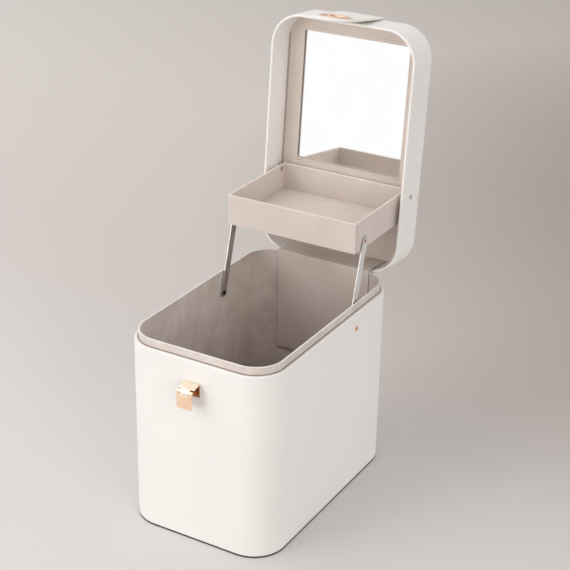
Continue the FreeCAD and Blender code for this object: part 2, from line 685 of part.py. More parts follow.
def pin_pair(name, centre, *pieces):
    """The same pin on both sides: its shank, then its heads, each as (radius, inner, outer)."""
    node(name, join([side_rod(side, radius, inner, outer, *centre)
                     for side in SIDES.values() for radius, inner, outer in pieces]))


def ring_pair(name, centre, hole, radius, inner, outer):
    """The same washer or spacer on both sides."""
    rings = [side_rod(side, radius, inner, outer, *centre) for side in SIDES.values()]
    holes = [side_rod(side, hole, inner, outer, *centre) for side in SIDES.values()]
    node(name, cut(join(rings), holes))


def linkage():
    """Both arms with the screws, washers and spacers that they turn on."""
    for word, side in SIDES.items():
        lift_arm(f"arm_{word}", side)
    case_pivot = (CASE_PIVOT_Y, CASE_PIVOT_Z)
    tray_pivot = (TRAY_PIVOT_Y, TRAY_PIVOT_Z)
    lid_pivot = (LID_PIVOT_Y, LID_PIVOT_Z)
    outside = "case_width / 2"
    head_end = f"{outside} + arm_head_thick"
    arm_inner = f"{ARM_X} - arm_gap"
    arm_outer = f"{ARM_X} + arm_thick + arm_gap"
    inside = f"{TRAY_X} - tray_wall"
    pin_pair("arm_screws_case", case_pivot,
             ("arm_pin_radius", f"{arm_inner} - arm_head_thick", head_end),
             ("arm_head_radius", outside, head_end),
             ("arm_head_radius", f"{arm_inner} - arm_head_thick", arm_inner))
    pin_pair("arm_screws_tray", tray_pivot,
             ("arm_pin_radius", f"{inside} - arm_head_thick", f"{arm_outer} + washer_thick / 2"),
             ("arm_head_radius", f"{inside} - arm_head_thick", inside),
             ("arm_head_radius", arm_outer, f"{arm_outer} + washer_thick / 2"))
    pin_pair("lid_pivot_screws", lid_pivot,
             ("lid_pin_radius", f"{inside} - arm_gap - arm_head_thick", head_end),
             ("lid_head_radius", outside, head_end),
             ("lid_head_radius", f"{inside} - arm_gap - arm_head_thick", f"{inside} - arm_gap"))
    ring_pair("arm_washers_case", case_pivot, "arm_pin_radius", "washer_radius",
              f"{LINER_X} - washer_thick", LINER_X)
    ring_pair("arm_washers_tray", tray_pivot, "arm_pin_radius", "washer_radius",
              TRAY_X, f"{TRAY_X} + washer_thick")
    ring_pair("lid_pivot_spacers", lid_pivot, "lid_pin_radius", "spacer_radius",
              f"{TRAY_X} + arm_gap", f"{outside} - lid_wall")


# ---- Lock ----

def lock_bracket():
    """The bracket: a plate on the wall, an arm sloping forwards, a barrel for the flap's pin."""
    body = new_body("lock_bracket")
    wall = "(-case_length / 2)"
    drawing = draw_on(body, "YZ_Plane")
    polygon(drawing, [
        (wall, f"{LOCK_Z} - lock_back_down"),
        (wall, f"{LOCK_Z} + lock_back_up"),
        (f"{wall} - lock_sheet", f"{LOCK_Z} + lock_back_up"),
        (LOCK_Y, f"{LOCK_Z} + lock_knuckle"),
        (LOCK_Y, f"{LOCK_Z} + lock_knuckle - lock_sheet"),
        (f"{wall} - lock_sheet", f"{LOCK_Z} + lock_back_up - lock_arm_root"),
        (f"{wall} - lock_sheet", f"{LOCK_Z} - lock_back_down")])
    pad(body, drawing, "lock_width", "Symmetric")
    barrel = draw_on(body, "YZ_Plane")
    circle(barrel, LOCK_Y, LOCK_Z, "lock_knuckle")
    pad(body, barrel, "lock_width", "Symmetric")
    room = draw_on(body, "YZ_Plane")
    circle(room, LOCK_Y, LOCK_Z, "lock_knuckle + knuckle_gap")
    pocket(body, room, "flap_eye_width + 2 * knuckle_gap", "Symmetric")
    bore = draw_on(body, "YZ_Plane")
    circle(bore, LOCK_Y, LOCK_Z, "lock_pin_radius")
    pocket(body, bore, "2 * lock_width", "Symmetric")
    feet = draw_on(body, "XZ_Plane", "case_length / 2")
    for across in (-1, 1):
        circle(feet, f"{across} * lock_rivet_apart / 2", f"{LOCK_Z} - lock_back_down / 2", "rivet_shank")
    pocket(body, feet, "4 * lock_sheet", "Symmetric")


def lock_small_parts():
    """The flap's pin and the two rivets that hold the bracket to the wall."""
    node("lock_pin", rod("X", "lock_pin_radius", "lock_width", "-lock_width / 2", LOCK_Y, LOCK_Z))
    parts = []
    for across in (-1, 1):
        x = f"{across} * lock_rivet_apart / 2"
        z = f"{LOCK_Z} - lock_back_down / 2"
        wall = "-case_length / 2 - lock_sheet"
        parts.append(rod("Y", "rivet_shank", "lock_sheet", x, wall, z))
        parts.append(rod("Y", "rivet_radius", "rivet_thick", x, f"{wall} - rivet_thick", z))
    node("lock_rivets", join(parts))


def lock_flap():
    """The plate that hangs from the pin in front of the bracket."""
    body = new_body("lock_flap")
    face = "(lock_knuckle - lock_sheet)"
    plate = draw_on(body, "YZ_Plane")
    polygon(plate, [("-lock_knuckle", "-flap_plate_drop"), (f"-{face}", "-flap_plate_drop"),
                    (f"-{face}", "-lock_knuckle - knuckle_gap"),
                    ("-lock_knuckle", "-lock_knuckle - knuckle_gap")])
    pad(body, plate, "flap_plate_width", "Symmetric")
    foot = number("-flap_plate_drop")
    half = number("flap_plate_width / 2") - 1e-3
    round_off(body, "flap_plate_round", lambda edge: abs(edge.CenterOfMass.x) > half
              and abs(edge.CenterOfMass.z - foot) < 1e-3 and edge.BoundBox.YLength > 0.1)
    tongue = draw_on(body, "YZ_Plane")
    polygon(tongue, [("-lock_knuckle", "-lock_knuckle - 2 * knuckle_gap"),
                     (f"-{face}", "-lock_knuckle - 2 * knuckle_gap"),
                     (f"-{face}", "0"), ("-lock_knuckle", "0")])
    pad(body, tongue, "flap_eye_width", "Symmetric")
    eye = draw_on(body, "YZ_Plane")
    circle(eye, "0", "0", "lock_knuckle")
    pad(body, eye, "flap_eye_width", "Symmetric")
    bore = draw_on(body, "YZ_Plane")
    circle(bore, "0", "0", "lock_pin_radius + running_gap")
    pocket(body, bore, "2 * lock_width", "Symmetric")
    place(body, "0", LOCK_Y, LOCK_Z)


# ---- Strap ----

BEND_Y = "(-case_length / 2 - strap_off)"
BEND_Z = f"({LID_TOP_Z} - strap_bend_drop)"


def strap_root():
    """The end of the strap that lies on the lid's top and turns down over its front edge."""
    body = new_body("strap_root")
    wall = "(-case_length / 2)"
    drawing = draw_on(body, "YZ_Plane")
    polygon(drawing, [
        (f"{wall} + strap_hold", LID_TOP_Z),
        (f"{BEND_Y} + strap_thick / 2", LID_TOP_Z),
        (f"{BEND_Y} + strap_thick / 2", f"{BEND_Z} + strap_thick / 2"),
        (f"{BEND_Y} - strap_thick / 2", f"{BEND_Z} + strap_thick / 2"),
        (f"{BEND_Y} - strap_thick / 2", f"{LID_TOP_Z} + strap_thick"),
        (f"{wall} + strap_hold", f"{LID_TOP_Z} + strap_thick")])
    pad(body, drawing, "strap_width", "Symmetric")
    top = number(f"{LID_TOP_Z} + strap_thick")
    front = number(f"{BEND_Y} - strap_thick / 2")
    round_off(body, "strap_fold", lambda edge: all_at(edge, 2, top) and all_at(edge, 1, front))
    holes = draw_on(body, "XY_Plane", LID_TOP_Z)
    for across in (-1, 1):
        circle(holes, f"{across} * strap_rivet_apart / 2", f"{wall} + strap_rivet_back", "rivet_shank")
    pocket(body, holes, "strap_thick", reverse=True)
    swing_open(body)


def strap_rivets():
    """The two domed rivets through the strap into the lid's top."""
    parts = []
    for across in (-1, 1):
        x = f"{across} * strap_rivet_apart / 2"
        y = "-case_length / 2 + strap_rivet_back"
        parts.append(rod("Z", "rivet_shank", "strap_thick", x, y, LID_TOP_Z))
        parts.append(rod("Z", "rivet_radius", "rivet_thick", x, y, f"{LID_TOP_Z} + strap_thick"))
    swing_open(node("strap_rivets", join(parts)))


def hung_body(name):
    """A body drawn hanging from the strap's bend: -Z along the leather, -Y off the lid."""
    return swing_open(new_body(name), "0", BEND_Y, BEND_Z, "strap_lean")


def neck_outline(drawing, room="0"):
    """The outside of the eyelet's neck, or its hole when room is 0."""
    rounded_outline(drawing, f"eyelet_open_width + 2 * eyelet_thick - {room}",
                    f"eyelet_open_height + 2 * eyelet_thick - {room}",
                    f"eyelet_open_round + eyelet_thick - {room} / 2", "0", "-eyelet_along")


def strap_tab():
    """The free part of the strap, with round corners and a hole for the eyelet."""
    body = hung_body("strap_tab")
    drawing = draw_on(body, "XZ_Plane")
    polygon(drawing, [("-strap_width / 2", "-strap_thick / 2"), ("-strap_width / 2", "-strap_length"),
                      ("strap_width / 2", "-strap_length"), ("strap_width / 2", "-strap_thick / 2")])
    pad(body, drawing, "strap_thick", "Symmetric")
    foot = number("-strap_length")
    half = number("strap_width / 2") - 1e-3
    round_off(body, "strap_round", lambda edge: abs(edge.CenterOfMass.x) > half
              and abs(edge.CenterOfMass.z - foot) < 1e-3)
    hole = draw_on(body, "XZ_Plane")
    neck_outline(hole)
    pocket(body, hole, "2 * strap_thick", "Symmetric")


def eyelet_front():
    """The outer flange of the eyelet with the neck that lines the leather."""
    body = hung_body("eyelet_front")
    flange = draw_on(body, "XZ_Plane", "strap_thick / 2")
    rounded_outline(flange, "eyelet_width", "eyelet_height", "eyelet_round", "0", "-eyelet_along")
    pad(body, flange, "eyelet_thick")
    neck = draw_on(body, "XZ_Plane", "strap_thick / 2")
    neck_outline(neck, "seat_gap")
    pad(body, neck, "strap_thick + eyelet_thick", reverse=True)
    opening = draw_on(body, "XZ_Plane")
    rounded_outline(opening, "eyelet_open_width", "eyelet_open_height", "eyelet_open_round",
                    "0", "-eyelet_along")
    pocket(body, opening, "4 * (strap_thick + eyelet_thick)", "Symmetric")


def eyelet_back():
    """The inner flange of the eyelet, pressed on over the neck."""
    body = hung_body("eyelet_back")
    flange = draw_on(body, "XZ_Plane", "-strap_thick / 2 - eyelet_thick")
    rounded_outline(flange, "eyelet_width", "eyelet_height", "eyelet_round", "0", "-eyelet_along")
    neck_outline(flange)
    pad(body, flange, "eyelet_thick")


# ---- Handle ----

def handle_mounts():
    """Two feet on the lid's top, each with an upright ear that holds a pivot."""
    parts = []
    bores = []
    for end in (-1, 1):
        mid = f"{end} * handle_span / 2"
        parts.append(block("mount_length", "mount_width", "mount_thick", "-mount_length / 2",
                           f"{mid} - mount_width / 2", LID_TOP_Z))
        parts.append(block("2 * ear_radius", "ear_thick", "handle_axis_up", "-ear_radius",
                           f"{mid} - ear_thick / 2", LID_TOP_Z))
        parts.append(rod("Y", "ear_radius", "ear_thick", "0", f"{mid} - ear_thick / 2", HANDLE_Z))
        bores.append(rod("Y", "handle_pin_radius + running_gap", "mount_width", "0",
                         f"{mid} - mount_width / 2", HANDLE_Z))
        for across in (-1, 1):
            bores.append(rod("Z", "rivet_shank", "mount_thick", f"{across} * {FOOT_SCREW_X}",
                             mid, LID_TOP_Z))
    swing_open(node("handle_mounts", cut(join(parts), bores)))


def handle_screws():
    """Four domed screws through the feet into the lid's top."""
    parts = []
    for end in (-1, 1):
        for across in (-1, 1):
            x = f"{across} * {FOOT_SCREW_X}"
            y = f"{end} * handle_span / 2"
            depth = "(lid_top - hole_floor - seat_gap)"
            parts.append(rod("Z", "rivet_shank", f"mount_thick + {depth}", x, y, f"{LID_TOP_Z} - {depth}"))
            parts.append(rod("Z", "rivet_radius", "rivet_thick", x, y, f"{LID_TOP_Z} + mount_thick"))
    swing_open(node("handle_screws", join(parts)))


CAP_OUTER = "(handle_span / 2 - ear_thick / 2 - arm_gap)"
CAP_INNER = f"({CAP_OUTER} - cap_thick)"
ARCH_RADIUS = f"(({CAP_INNER} * {CAP_INNER} + handle_rise * handle_rise) / (2 * handle_rise))"


def handle_caps():
    """The metal ends of the grip, with the pins that turn in the mounts."""
    parts = []
    for end in (-1, 1):
        start = CAP_INNER if end > 0 else f"-{CAP_OUTER}"
        pin = CAP_OUTER if end > 0 else "-handle_span / 2 - ear_thick / 2"
        parts.append(rod("Y", "cap_radius", "cap_thick", "0", start, HANDLE_Z))
        parts.append(block("2 * cap_radius", "cap_thick", "cap_up", "-cap_radius", start, HANDLE_Z))
        parts.append(rod("Y", "handle_pin_radius", "ear_thick + arm_gap", "0", pin, HANDLE_Z))
    swing_open(node("handle_caps", join(parts)))


def handle_grip():
    """The arched, padded leather grip between the metal ends."""
    body = new_body("handle_grip")
    drawing = draw_on(body, "XZ_Plane")
    rounded_outline(drawing, "grip_width", "grip_thick", "grip_round", "0", ARCH_RADIUS)
    arch = body.newObject("PartDesign::Revolution", "arch")
    arch.Profile = drawing
    arch.ReferenceAxis = (drawing, ["H_Axis"])
    arch.Midplane = True
    tie(arch, "Angle", f"2 * asin({CAP_INNER} / {ARCH_RADIUS}) + grip_spare * 1 deg")
    doc.recompute()
    for end in (-1, 1):
        trim = draw_on(body, "XZ_Plane", f"{-end} * {CAP_INNER}")
        rounded_outline(trim, "4 * grip_width", f"4 * ({ARCH_RADIUS} + grip_thick)", "grip_width")
        pocket(body, trim, "handle_span", reverse=end < 0)
    swing_open(body, "0", "0", f"({HANDLE_Z} + handle_rise - {ARCH_RADIUS})")


def write_nodes():
    """Checks every object and writes one STEP file per node."""
    doc.recompute()
    for thing in doc.Objects:
        if "Invalid" in thing.State or "Error" in thing.State:
            raise RuntimeError(f"{thing.Label} is {thing.State}")
    os.makedirs("parts", exist_ok=True)
    for name, thing in nodes.items():
        shape = thing.Shape
        if shape.isNull() or not shape.isValid() or not shape.Solids:
            raise RuntimeError(f"{name} has no valid solid")
        shape.exportStep(f"parts/{name}.step")
        print(f"{name:20s} solids {len(shape.Solids)}  volume {shape.Volume / 1000:8.2f} cm3")


for make in (case_shell, base_cover, case_liner, floor_pad, lid_shell, mirror_panel, mirror_glass,
             hinge, lining_flap, tray_shell, tray_pad, linkage, lock_bracket, lock_small_parts,
             lock_flap, strap_root, strap_rivets, strap_tab, eyelet_front, eyelet_back,
             handle_mounts, handle_screws, handle_caps, handle_grip):
    make()
write_nodes()
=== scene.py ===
# %% [markdown]
# # A covered storage case with a tray that lifts as the lid opens
#
# The case is board wrapped in white leathercloth and lined in taupe suede cloth. A parallelogram of
# two flat arms lifts the tray, a mirror fills the lid, and a bracket lock with a strap closes it. The
# CAD model is the fixed frame. Hard pieces whose shape is already right stay and get a
# finish. Leather, cloth, pads and rounded metal are new surfaces worked out here.

# %% Tools, the frame and its box
import math

import bmesh
import bpy
import numpy as np
from mathutils import Matrix, Vector


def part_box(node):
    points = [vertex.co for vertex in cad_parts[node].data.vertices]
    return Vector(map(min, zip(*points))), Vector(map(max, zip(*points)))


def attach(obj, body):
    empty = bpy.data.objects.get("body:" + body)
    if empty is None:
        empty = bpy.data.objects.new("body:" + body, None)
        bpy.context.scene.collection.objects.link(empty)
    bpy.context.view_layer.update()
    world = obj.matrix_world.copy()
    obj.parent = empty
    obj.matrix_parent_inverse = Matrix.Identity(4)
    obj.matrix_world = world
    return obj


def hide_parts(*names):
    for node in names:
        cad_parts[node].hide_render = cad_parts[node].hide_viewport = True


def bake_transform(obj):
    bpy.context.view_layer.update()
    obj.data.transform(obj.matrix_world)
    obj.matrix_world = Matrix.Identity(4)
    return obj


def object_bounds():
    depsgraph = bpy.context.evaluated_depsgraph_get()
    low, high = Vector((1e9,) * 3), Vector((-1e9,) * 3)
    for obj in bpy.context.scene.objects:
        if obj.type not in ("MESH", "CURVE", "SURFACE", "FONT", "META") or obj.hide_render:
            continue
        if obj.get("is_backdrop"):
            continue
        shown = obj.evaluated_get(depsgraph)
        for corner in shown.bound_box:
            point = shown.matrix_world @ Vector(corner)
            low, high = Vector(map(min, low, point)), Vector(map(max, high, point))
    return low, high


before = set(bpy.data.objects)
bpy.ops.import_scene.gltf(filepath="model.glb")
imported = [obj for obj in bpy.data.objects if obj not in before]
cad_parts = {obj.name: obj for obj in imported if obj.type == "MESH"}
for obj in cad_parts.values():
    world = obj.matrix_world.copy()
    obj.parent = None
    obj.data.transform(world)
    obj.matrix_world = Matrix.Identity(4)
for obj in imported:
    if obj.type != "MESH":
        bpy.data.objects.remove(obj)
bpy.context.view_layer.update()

# %% [markdown]
# ## The camera
#
# A long lens from some distance keeps upright edges nearly upright. The camera is placed by its
# position and three angles: round the object, down, and a slight roll.

# %% Camera
MM = 0.001
CAMERA_PLACE = Vector((0.716705, -1.201374, 0.899805))
ROUND, DOWN, ROLL = math.radians(29.89), math.radians(24.99), math.radians(1.086)
LENS, SENSOR = 90.28, 36
NEAR, FAR = 0.05, 60


def aim(round_angle, down_angle, roll):
    """A camera's rotation: it looks along (-sin, cos) of the round angle, tipped down, then rolled."""
    ahead = Vector((-math.sin(round_angle) * math.cos(down_angle),
                    math.cos(round_angle) * math.cos(down_angle), -math.sin(down_angle)))
    level = Vector((math.cos(round_angle), math.sin(round_angle), 0))
    above = level.cross(ahead)
    right = level * math.cos(roll) + above * math.sin(roll)
    up = above * math.cos(roll) - level * math.sin(roll)
    return Matrix((right, up, -ahead)).transposed()


def place_object(name, data):
    """Puts a new object with its data in the scene."""
    made = bpy.data.objects.new(name, data)
    scene.collection.objects.link(made)
    return made


scene = bpy.context.scene
scene.view_settings.view_transform = "Standard"
optics = bpy.data.cameras.new("camera")
optics.lens, optics.sensor_width, optics.clip_start, optics.clip_end = LENS, SENSOR, NEAR, FAR
scene.camera = place_object("camera", optics)
scene.camera.matrix_world = Matrix.Translation(CAMERA_PLACE) @ aim(ROUND, DOWN, ROLL).to_4x4()
print("camera", round(optics.lens, 1), "mm at", tuple(round(c, 3) for c in CAMERA_PLACE))

# %% [markdown]
# ## Small helpers for materials
#
# Every finish is a node tree. Short helpers keep the trees readable: they add a node and fill or link
# its inputs, start a group, and make the nodes that return in most trees.

# %% Node helpers
def add(tree, kind, inputs=None, **settings):
    """Adds a shader node, sets its properties, and sets or links each named input."""
    made = tree.nodes.new("ShaderNode" + kind)
    for key, value in settings.items():
        setattr(made, key, value)
    for key, value in (inputs or {}).items():
        if isinstance(value, bpy.types.NodeSocket):
            tree.links.new(value, made.inputs[key])
        else:
            made.inputs[key].default_value = value
    return made


def new_group(name, inputs, outputs):
    """A shader group with sockets given as name: kind. Gives the group, its inputs and its end node."""
    group = bpy.data.node_groups.new(name, "ShaderNodeTree")
    for in_out, sockets in (("INPUT", inputs), ("OUTPUT", outputs)):
        for key, kind in sockets.items():
            group.interface.new_socket(name=key, in_out=in_out, socket_type=kind)
    return group, group.nodes.new("NodeGroupInput").outputs, group.nodes.new("NodeGroupOutput")


def feed(tree, node, **values):
    """Links values to a node's inputs. An underscore in a name stands for a space."""
    for key, value in values.items():
        tree.links.new(value, node.inputs[key.replace("_", " ")])


def math_node(tree, operation, first, second=0.0):
    """One sum, product or other operation on two values."""
    return add(tree, "Math", {0: first, 1: second}, operation=operation).outputs[0]


def vector_node(tree, operation, first, second):
    """One operation on two vectors. A dot product or a distance comes out as a single value."""
    made = add(tree, "VectorMath", {0: first, 1: second}, operation=operation)
    return made.outputs["Value" if operation in ("DOT_PRODUCT", "DISTANCE") else "Vector"]


def between(tree, value, low, high, from_low=0.0, from_high=1.0):
    """A value carried from one range to another and kept inside it."""
    ends = {"From Min": from_low, "From Max": from_high, "To Min": low, "To Max": high}
    return add(tree, "MapRange", {"Value": value, **ends}).outputs[0]


def mix(tree, share, first, second, blend="MIX"):
    """Two colours blended by a share from 0 to 1."""
    return add(tree, "Mix", {"Factor": share, 6: first, 7: second},
               data_type="RGBA", blend_type=blend).outputs[2]


def noise(tree, place, scale, detail, **inputs):
    """Cloudy noise. Its outputs are a value, Fac, and a Color."""
    return add(tree, "TexNoise", {"Vector": place, "Scale": scale, "Detail": detail, **inputs}).outputs


def own_place(tree):
    """The place on the object itself, in metres."""
    return add(tree, "TexCoord").outputs["Object"]


def srgb(red, green, blue):
    """A colour given as 0-255 screen values, made linear."""
    part = np.array([red, green, blue]) / 255
    linear = np.where(part <= 0.04045, part / 12.92, ((part + 0.055) / 1.055) ** 2.4)
    return (*linear.tolist(), 1.0)


FLOAT, COLOUR, VECTOR = "NodeSocketFloat", "NodeSocketColor", "NodeSocketVector"
print("white is", srgb(255, 255, 255), "in linear values")

# %% [markdown]
# ## Shared effects
#
# Five effects return in many finishes. *Mottle* is the slow change of colour that any handled surface
# has. *Grain* is the pebbled skin of leathercloth: unequal cells with fine creases between them. *Nap*
# is the short pile of suede cloth, lighter and darker in soft patches. *Brushed* is the fine lines of
# rolled and polished metal. *Seam and painted line* is a thin straight line with soft sides, for seams,
# for bands of painted shade and for a line of painted highlight.

# %% Group: mottle
mottle, given, end = new_group("mottle", {"Light": COLOUR, "Dark": COLOUR, "Scale": FLOAT},
                               {"Colour": COLOUR, "Mask": FLOAT})
broad = noise(mottle, own_place(mottle), given["Scale"], 4.0, Roughness=0.55)["Fac"]
patches = between(mottle, broad, 0.0, 1.0, 0.35, 0.68)
feed(mottle, end, Colour=mix(mottle, patches, given["Light"], given["Dark"]), Mask=patches)

# %% Group: grain
grain, given, end = new_group("grain", {"Cells": FLOAT, "Uneven": FLOAT}, {"Height": FLOAT, "Crease": FLOAT})
STIR = 0.0012
place = own_place(grain)
stirred = vector_node(grain, "MULTIPLY", noise(grain, place, 260.0, 2.0)["Color"], (STIR, STIR, STIR))
moved = vector_node(grain, "ADD", place, stirred)
cells = add(grain, "TexVoronoi", {"Vector": moved, "Scale": given["Cells"]},
            feature="DISTANCE_TO_EDGE").outputs["Distance"]
crease = between(grain, cells, 0.0, 1.0, 0.02, 0.28)
uneven = math_node(grain, "MULTIPLY", noise(grain, place, 2600.0, 3.0)["Fac"], given["Uneven"])
feed(grain, end, Height=math_node(grain, "ADD", crease, uneven), Crease=crease)

# %% Group: nap
nap, given, end = new_group("nap", {"Light": COLOUR, "Dark": COLOUR, "Stroke": FLOAT},
                            {"Colour": COLOUR, "Height": FLOAT})
place = own_place(nap)
strokes = noise(nap, place, given["Stroke"], 5.0, Roughness=0.6, Distortion=0.5)["Fac"]
pile = noise(nap, place, 1900.0, 3.0, Roughness=0.7)["Fac"]
tufts = math_node(nap, "MULTIPLY", math_node(nap, "SUBTRACT", pile, 0.5), 0.55)
share = between(nap, math_node(nap, "ADD", strokes, tufts), 0.0, 1.0, 0.32, 0.7)
feed(nap, end, Colour=mix(nap, share, given["Light"], given["Dark"]), Height=pile)

# %% Group: brushed
brushed, given, end = new_group("brushed", {"Stretch": VECTOR, "Low": FLOAT, "High": FLOAT},
                                {"Roughness": FLOAT, "Height": FLOAT})
place = own_place(brushed)
lines = noise(brushed, vector_node(brushed, "MULTIPLY", place, given["Stretch"]), 1.0, 3.0)["Fac"]
blotch = noise(brushed, place, 90.0, 3.0)["Fac"]
both = math_node(brushed, "MULTIPLY", math_node(brushed, "ADD", lines, blotch), 0.5)
feed(brushed, end, Roughness=between(brushed, both, given["Low"], given["High"], 0.3, 0.7), Height=lines)

# %% Group: seam and painted line
seam_and_painted_line, given, end = new_group("seam_and_painted_line", {"Direction": VECTOR, "Place": FLOAT, "Half": FLOAT}, {"Mask": FLOAT})
along = vector_node(seam_and_painted_line, "DOT_PRODUCT", own_place(seam_and_painted_line), given["Direction"])
off = math_node(seam_and_painted_line, "ABSOLUTE", math_node(seam_and_painted_line, "SUBTRACT", along, given["Place"]))
full, none = [math_node(seam_and_painted_line, "MULTIPLY", given["Half"], times) for times in (0.5, 1.3)]
feed(seam_and_painted_line, end, Mask=between(seam_and_painted_line, off, 1.0, 0.0, full, none))
print("shared effects:", [group.name for group in (mottle, grain, nap, brushed, seam_and_painted_line)])

# %% [markdown]
# ## Finishes
#
# Each finish is one Principled shader fed by the shared effects. Leathercloth is rougher in its
# creases. Suede cloth has hardly any gloss and a soft sheen where it turns away. It can have dark
# lines where two cloths meet, bands of painted shade, a pale line of painted highlight along an edge,
# and puckers round a screw. Metals differ in colour and in their brushing; a paler copy of rose gold
# is a painted glint, and a darker one is painted shade.

# %% Finish makers
def new_material(name, constants):
    """A material with one Principled shader and the values that are the same all over it."""
    material = bpy.data.materials.new(name)
    material.use_nodes = True
    shader = material.node_tree.nodes["Principled BSDF"]
    for key, value in constants.items():
        shader.inputs[key].default_value = value
    return material, material.node_tree, shader


def use_group(tree, group, **inputs):
    """Places a shared effect in a material with its own values."""
    made = add(tree, "Group", node_tree=group)
    for key, value in inputs.items():
        made.inputs[key].default_value = value
    return made.outputs


def set_bump(tree, shader, height, depth, strength=1.0):
    """Feeds a height, in metres per unit, to the shader's normal."""
    bump = add(tree, "Bump", {"Height": height, "Distance": depth, "Strength": strength})
    feed(tree, shader, Normal=bump.outputs["Normal"])


def mottled(tree, shader, light, dark, scale):
    """Feeds a slowly changing colour to the shader, and gives the mask of its patches."""
    made = use_group(tree, mottle, Light=srgb(*light), Dark=srgb(*dark), Scale=scale)
    feed(tree, shader, Base_Color=made["Colour"])
    return made["Mask"]


def leathercloth(name, light, dark, cells, depth, smooth=0.42, rough=0.6):
    """Grained plastic skin: mottled colour, roughness and height from the grain."""
    material, tree, shader = new_material(name, {"Specular IOR Level": 0.4})
    mottled(tree, shader, light, dark, 9.0)
    skin = use_group(tree, grain, Cells=cells, Uneven=0.3)
    feed(tree, shader, Roughness=between(tree, skin["Crease"], rough, smooth))
    set_bump(tree, shader, skin["Height"], depth)
    return material


def highest(tree, values):
    """The highest of several values."""
    total, *others = values
    for value in others:
        total = math_node(tree, "MAXIMUM", total, value)
    return total


PUCKER_REACH, PUCKER_RISE = 16.0, 22.0


def pucker(tree, places):
    """Height of cloth drawn together round a few screws: rise * (1 - distance / reach) * rough folds."""
    place = own_place(tree)
    away = [vector_node(tree, "DISTANCE", place, tuple(MM * np.array(spot))) for spot in places]
    near = highest(tree, [between(tree, value, 1.0, 0.0, 0.0, PUCKER_REACH * MM) for value in away])
    folds = math_node(tree, "MULTIPLY", near, noise(tree, place, 260.0, 2.0)["Fac"])
    return math_node(tree, "MULTIPLY", folds, PUCKER_RISE)


def suede(name, light, dark, stroke=26.0, line=None, line_tone=None, drawn_at=None):
    """Short pile: patchy colour, fine height and a soft sheen. A line is (direction, places, half width),
    in millimetres, and the cloth is puckered round the places in drawn_at."""
    material, tree, shader = new_material(name, {
        "Roughness": 0.9, "Specular IOR Level": 0.15, "Sheen Weight": 0.25, "Sheen Roughness": 0.5})
    cloth = use_group(tree, nap, Light=srgb(*light), Dark=srgb(*dark), Stroke=stroke)
    colour, height = cloth["Colour"], cloth["Height"]
    if line:
        direction, places, half = line
        lines = [use_group(tree, seam_and_painted_line, Direction=direction, Place=where * MM, Half=half * MM)["Mask"]
                 for where in places]
        share = math_node(tree, "MULTIPLY", highest(tree, lines), 0.75)
        colour = mix(tree, share, colour, srgb(*line_tone))
    if drawn_at:
        height = math_node(tree, "ADD", height, pucker(tree, drawn_at))
    feed(tree, shader, Base_Color=colour)
    set_bump(tree, shader, height, 0.00012, 0.6)
    return material


ACROSS, UPRIGHT = (60.0, 2400.0, 2400.0), (2400.0, 2400.0, 60.0)


def metal(name, light, dark, low, high, stretch=ACROSS):
    """Brushed metal: mottled colour, and roughness and height from the brushing."""
    material, tree, shader = new_material(name, {"Metallic": 1.0})
    mottled(tree, shader, light, dark, 60.0)
    lines = use_group(tree, brushed, Stretch=stretch, Low=low, High=high)
    feed(tree, shader, Roughness=lines["Roughness"])
    set_bump(tree, shader, lines["Height"], 0.00001, 0.5)
    return material


def smooth_finish(name, constants, light, dark, scale, low, high):
    """A plain polished or moulded surface: mottled colour, and roughness from the same patches."""
    material, tree, shader = new_material(name, constants)
    patches = mottled(tree, shader, light, dark, scale)
    feed(tree, shader, Roughness=between(tree, patches, low, high))
    return material


# %% Coverings, leather and cloth
# All sizes and places of the case are in millimetres: x across, y along, z up.
CASE_HALF_X, CASE_HALF_Y, CASE_CORNER = 90.0, 140.0, 37.0
COLLAR_TOP, PARTING, LID_TOP = 226.0, 217.0, 263.0
LINER_SIDE, PANEL_SIDE = 83.7, 86.9
TRAY_SEAMS = [57.4, 175.4]
CASE_SCREW, LID_SCREW, TRAY_SCREW = (47.7, 198.6), (168.7, 312.7), (74.2, 291.4)
# The second colour is the dark tone of the tray's seams and of painted shade along the mirror panel's sides.
TAUPE, SEAM_AND_SHADE_TONE = ((220, 208, 199), (212, 199, 189)), (150, 136, 127)

WHITE_COVERING = leathercloth("white_covering", (243, 238, 233), (239, 234, 229), 1100.0, 0.00003)
WHITE_LEATHER = leathercloth("white_leather", (243, 238, 232), (238, 232, 224), 800.0, 0.00006)
BASE_BOARD = leathercloth("base_board", (58, 55, 54), (46, 44, 43), 700.0, 0.00005, 0.6, 0.8)
TAUPE_LINING = suede("taupe_lining", *TAUPE)
# The pale line along the collar's top edge is a painted highlight.
CASE_CLOTH = suede("case_cloth", (226, 215, 206), (204, 191, 181), 34.0, ((0, 0, 1), [COLLAR_TOP], 0.5),
                   (250, 245, 241), [(side * LINER_SIDE, *CASE_SCREW) for side in (-1, 1)])
# The mirror panel's cloth has bands of painted shade along both sides, next to the lid's walls.
LID_CLOTH = suede("lid_cloth", *TAUPE, line=((1, 0, 0), [-PANEL_SIDE, PANEL_SIDE], 2.4), line_tone=SEAM_AND_SHADE_TONE)
TRAY_CLOTH = suede("tray_cloth", *TAUPE, line=((0, 1, 0), TRAY_SEAMS, 0.35), line_tone=SEAM_AND_SHADE_TONE)
# A darker cloth for the hinge cloth's cut rim: painted shade along its edge.
CLOTH_EDGE_SHADE = suede("cloth_edge_shade", (150, 136, 126), (132, 118, 108))
# A lighter copy of the taupe cloth for the tray's rim: painted highlight.
RIM_CLOTH_HIGHLIGHT = suede("rim_cloth_highlight", (235, 226, 219), (227, 217, 209))
TRAY_LINING = suede("tray_lining", (222, 211, 202), (214, 202, 192))
# The dark lining is the case's floor pad, and also painted shade in thin strips beside the mirror and round
# the collar's foot.
DARK_LINING_AND_SHADE = suede("dark_lining", (112, 103, 99), (98, 90, 86))

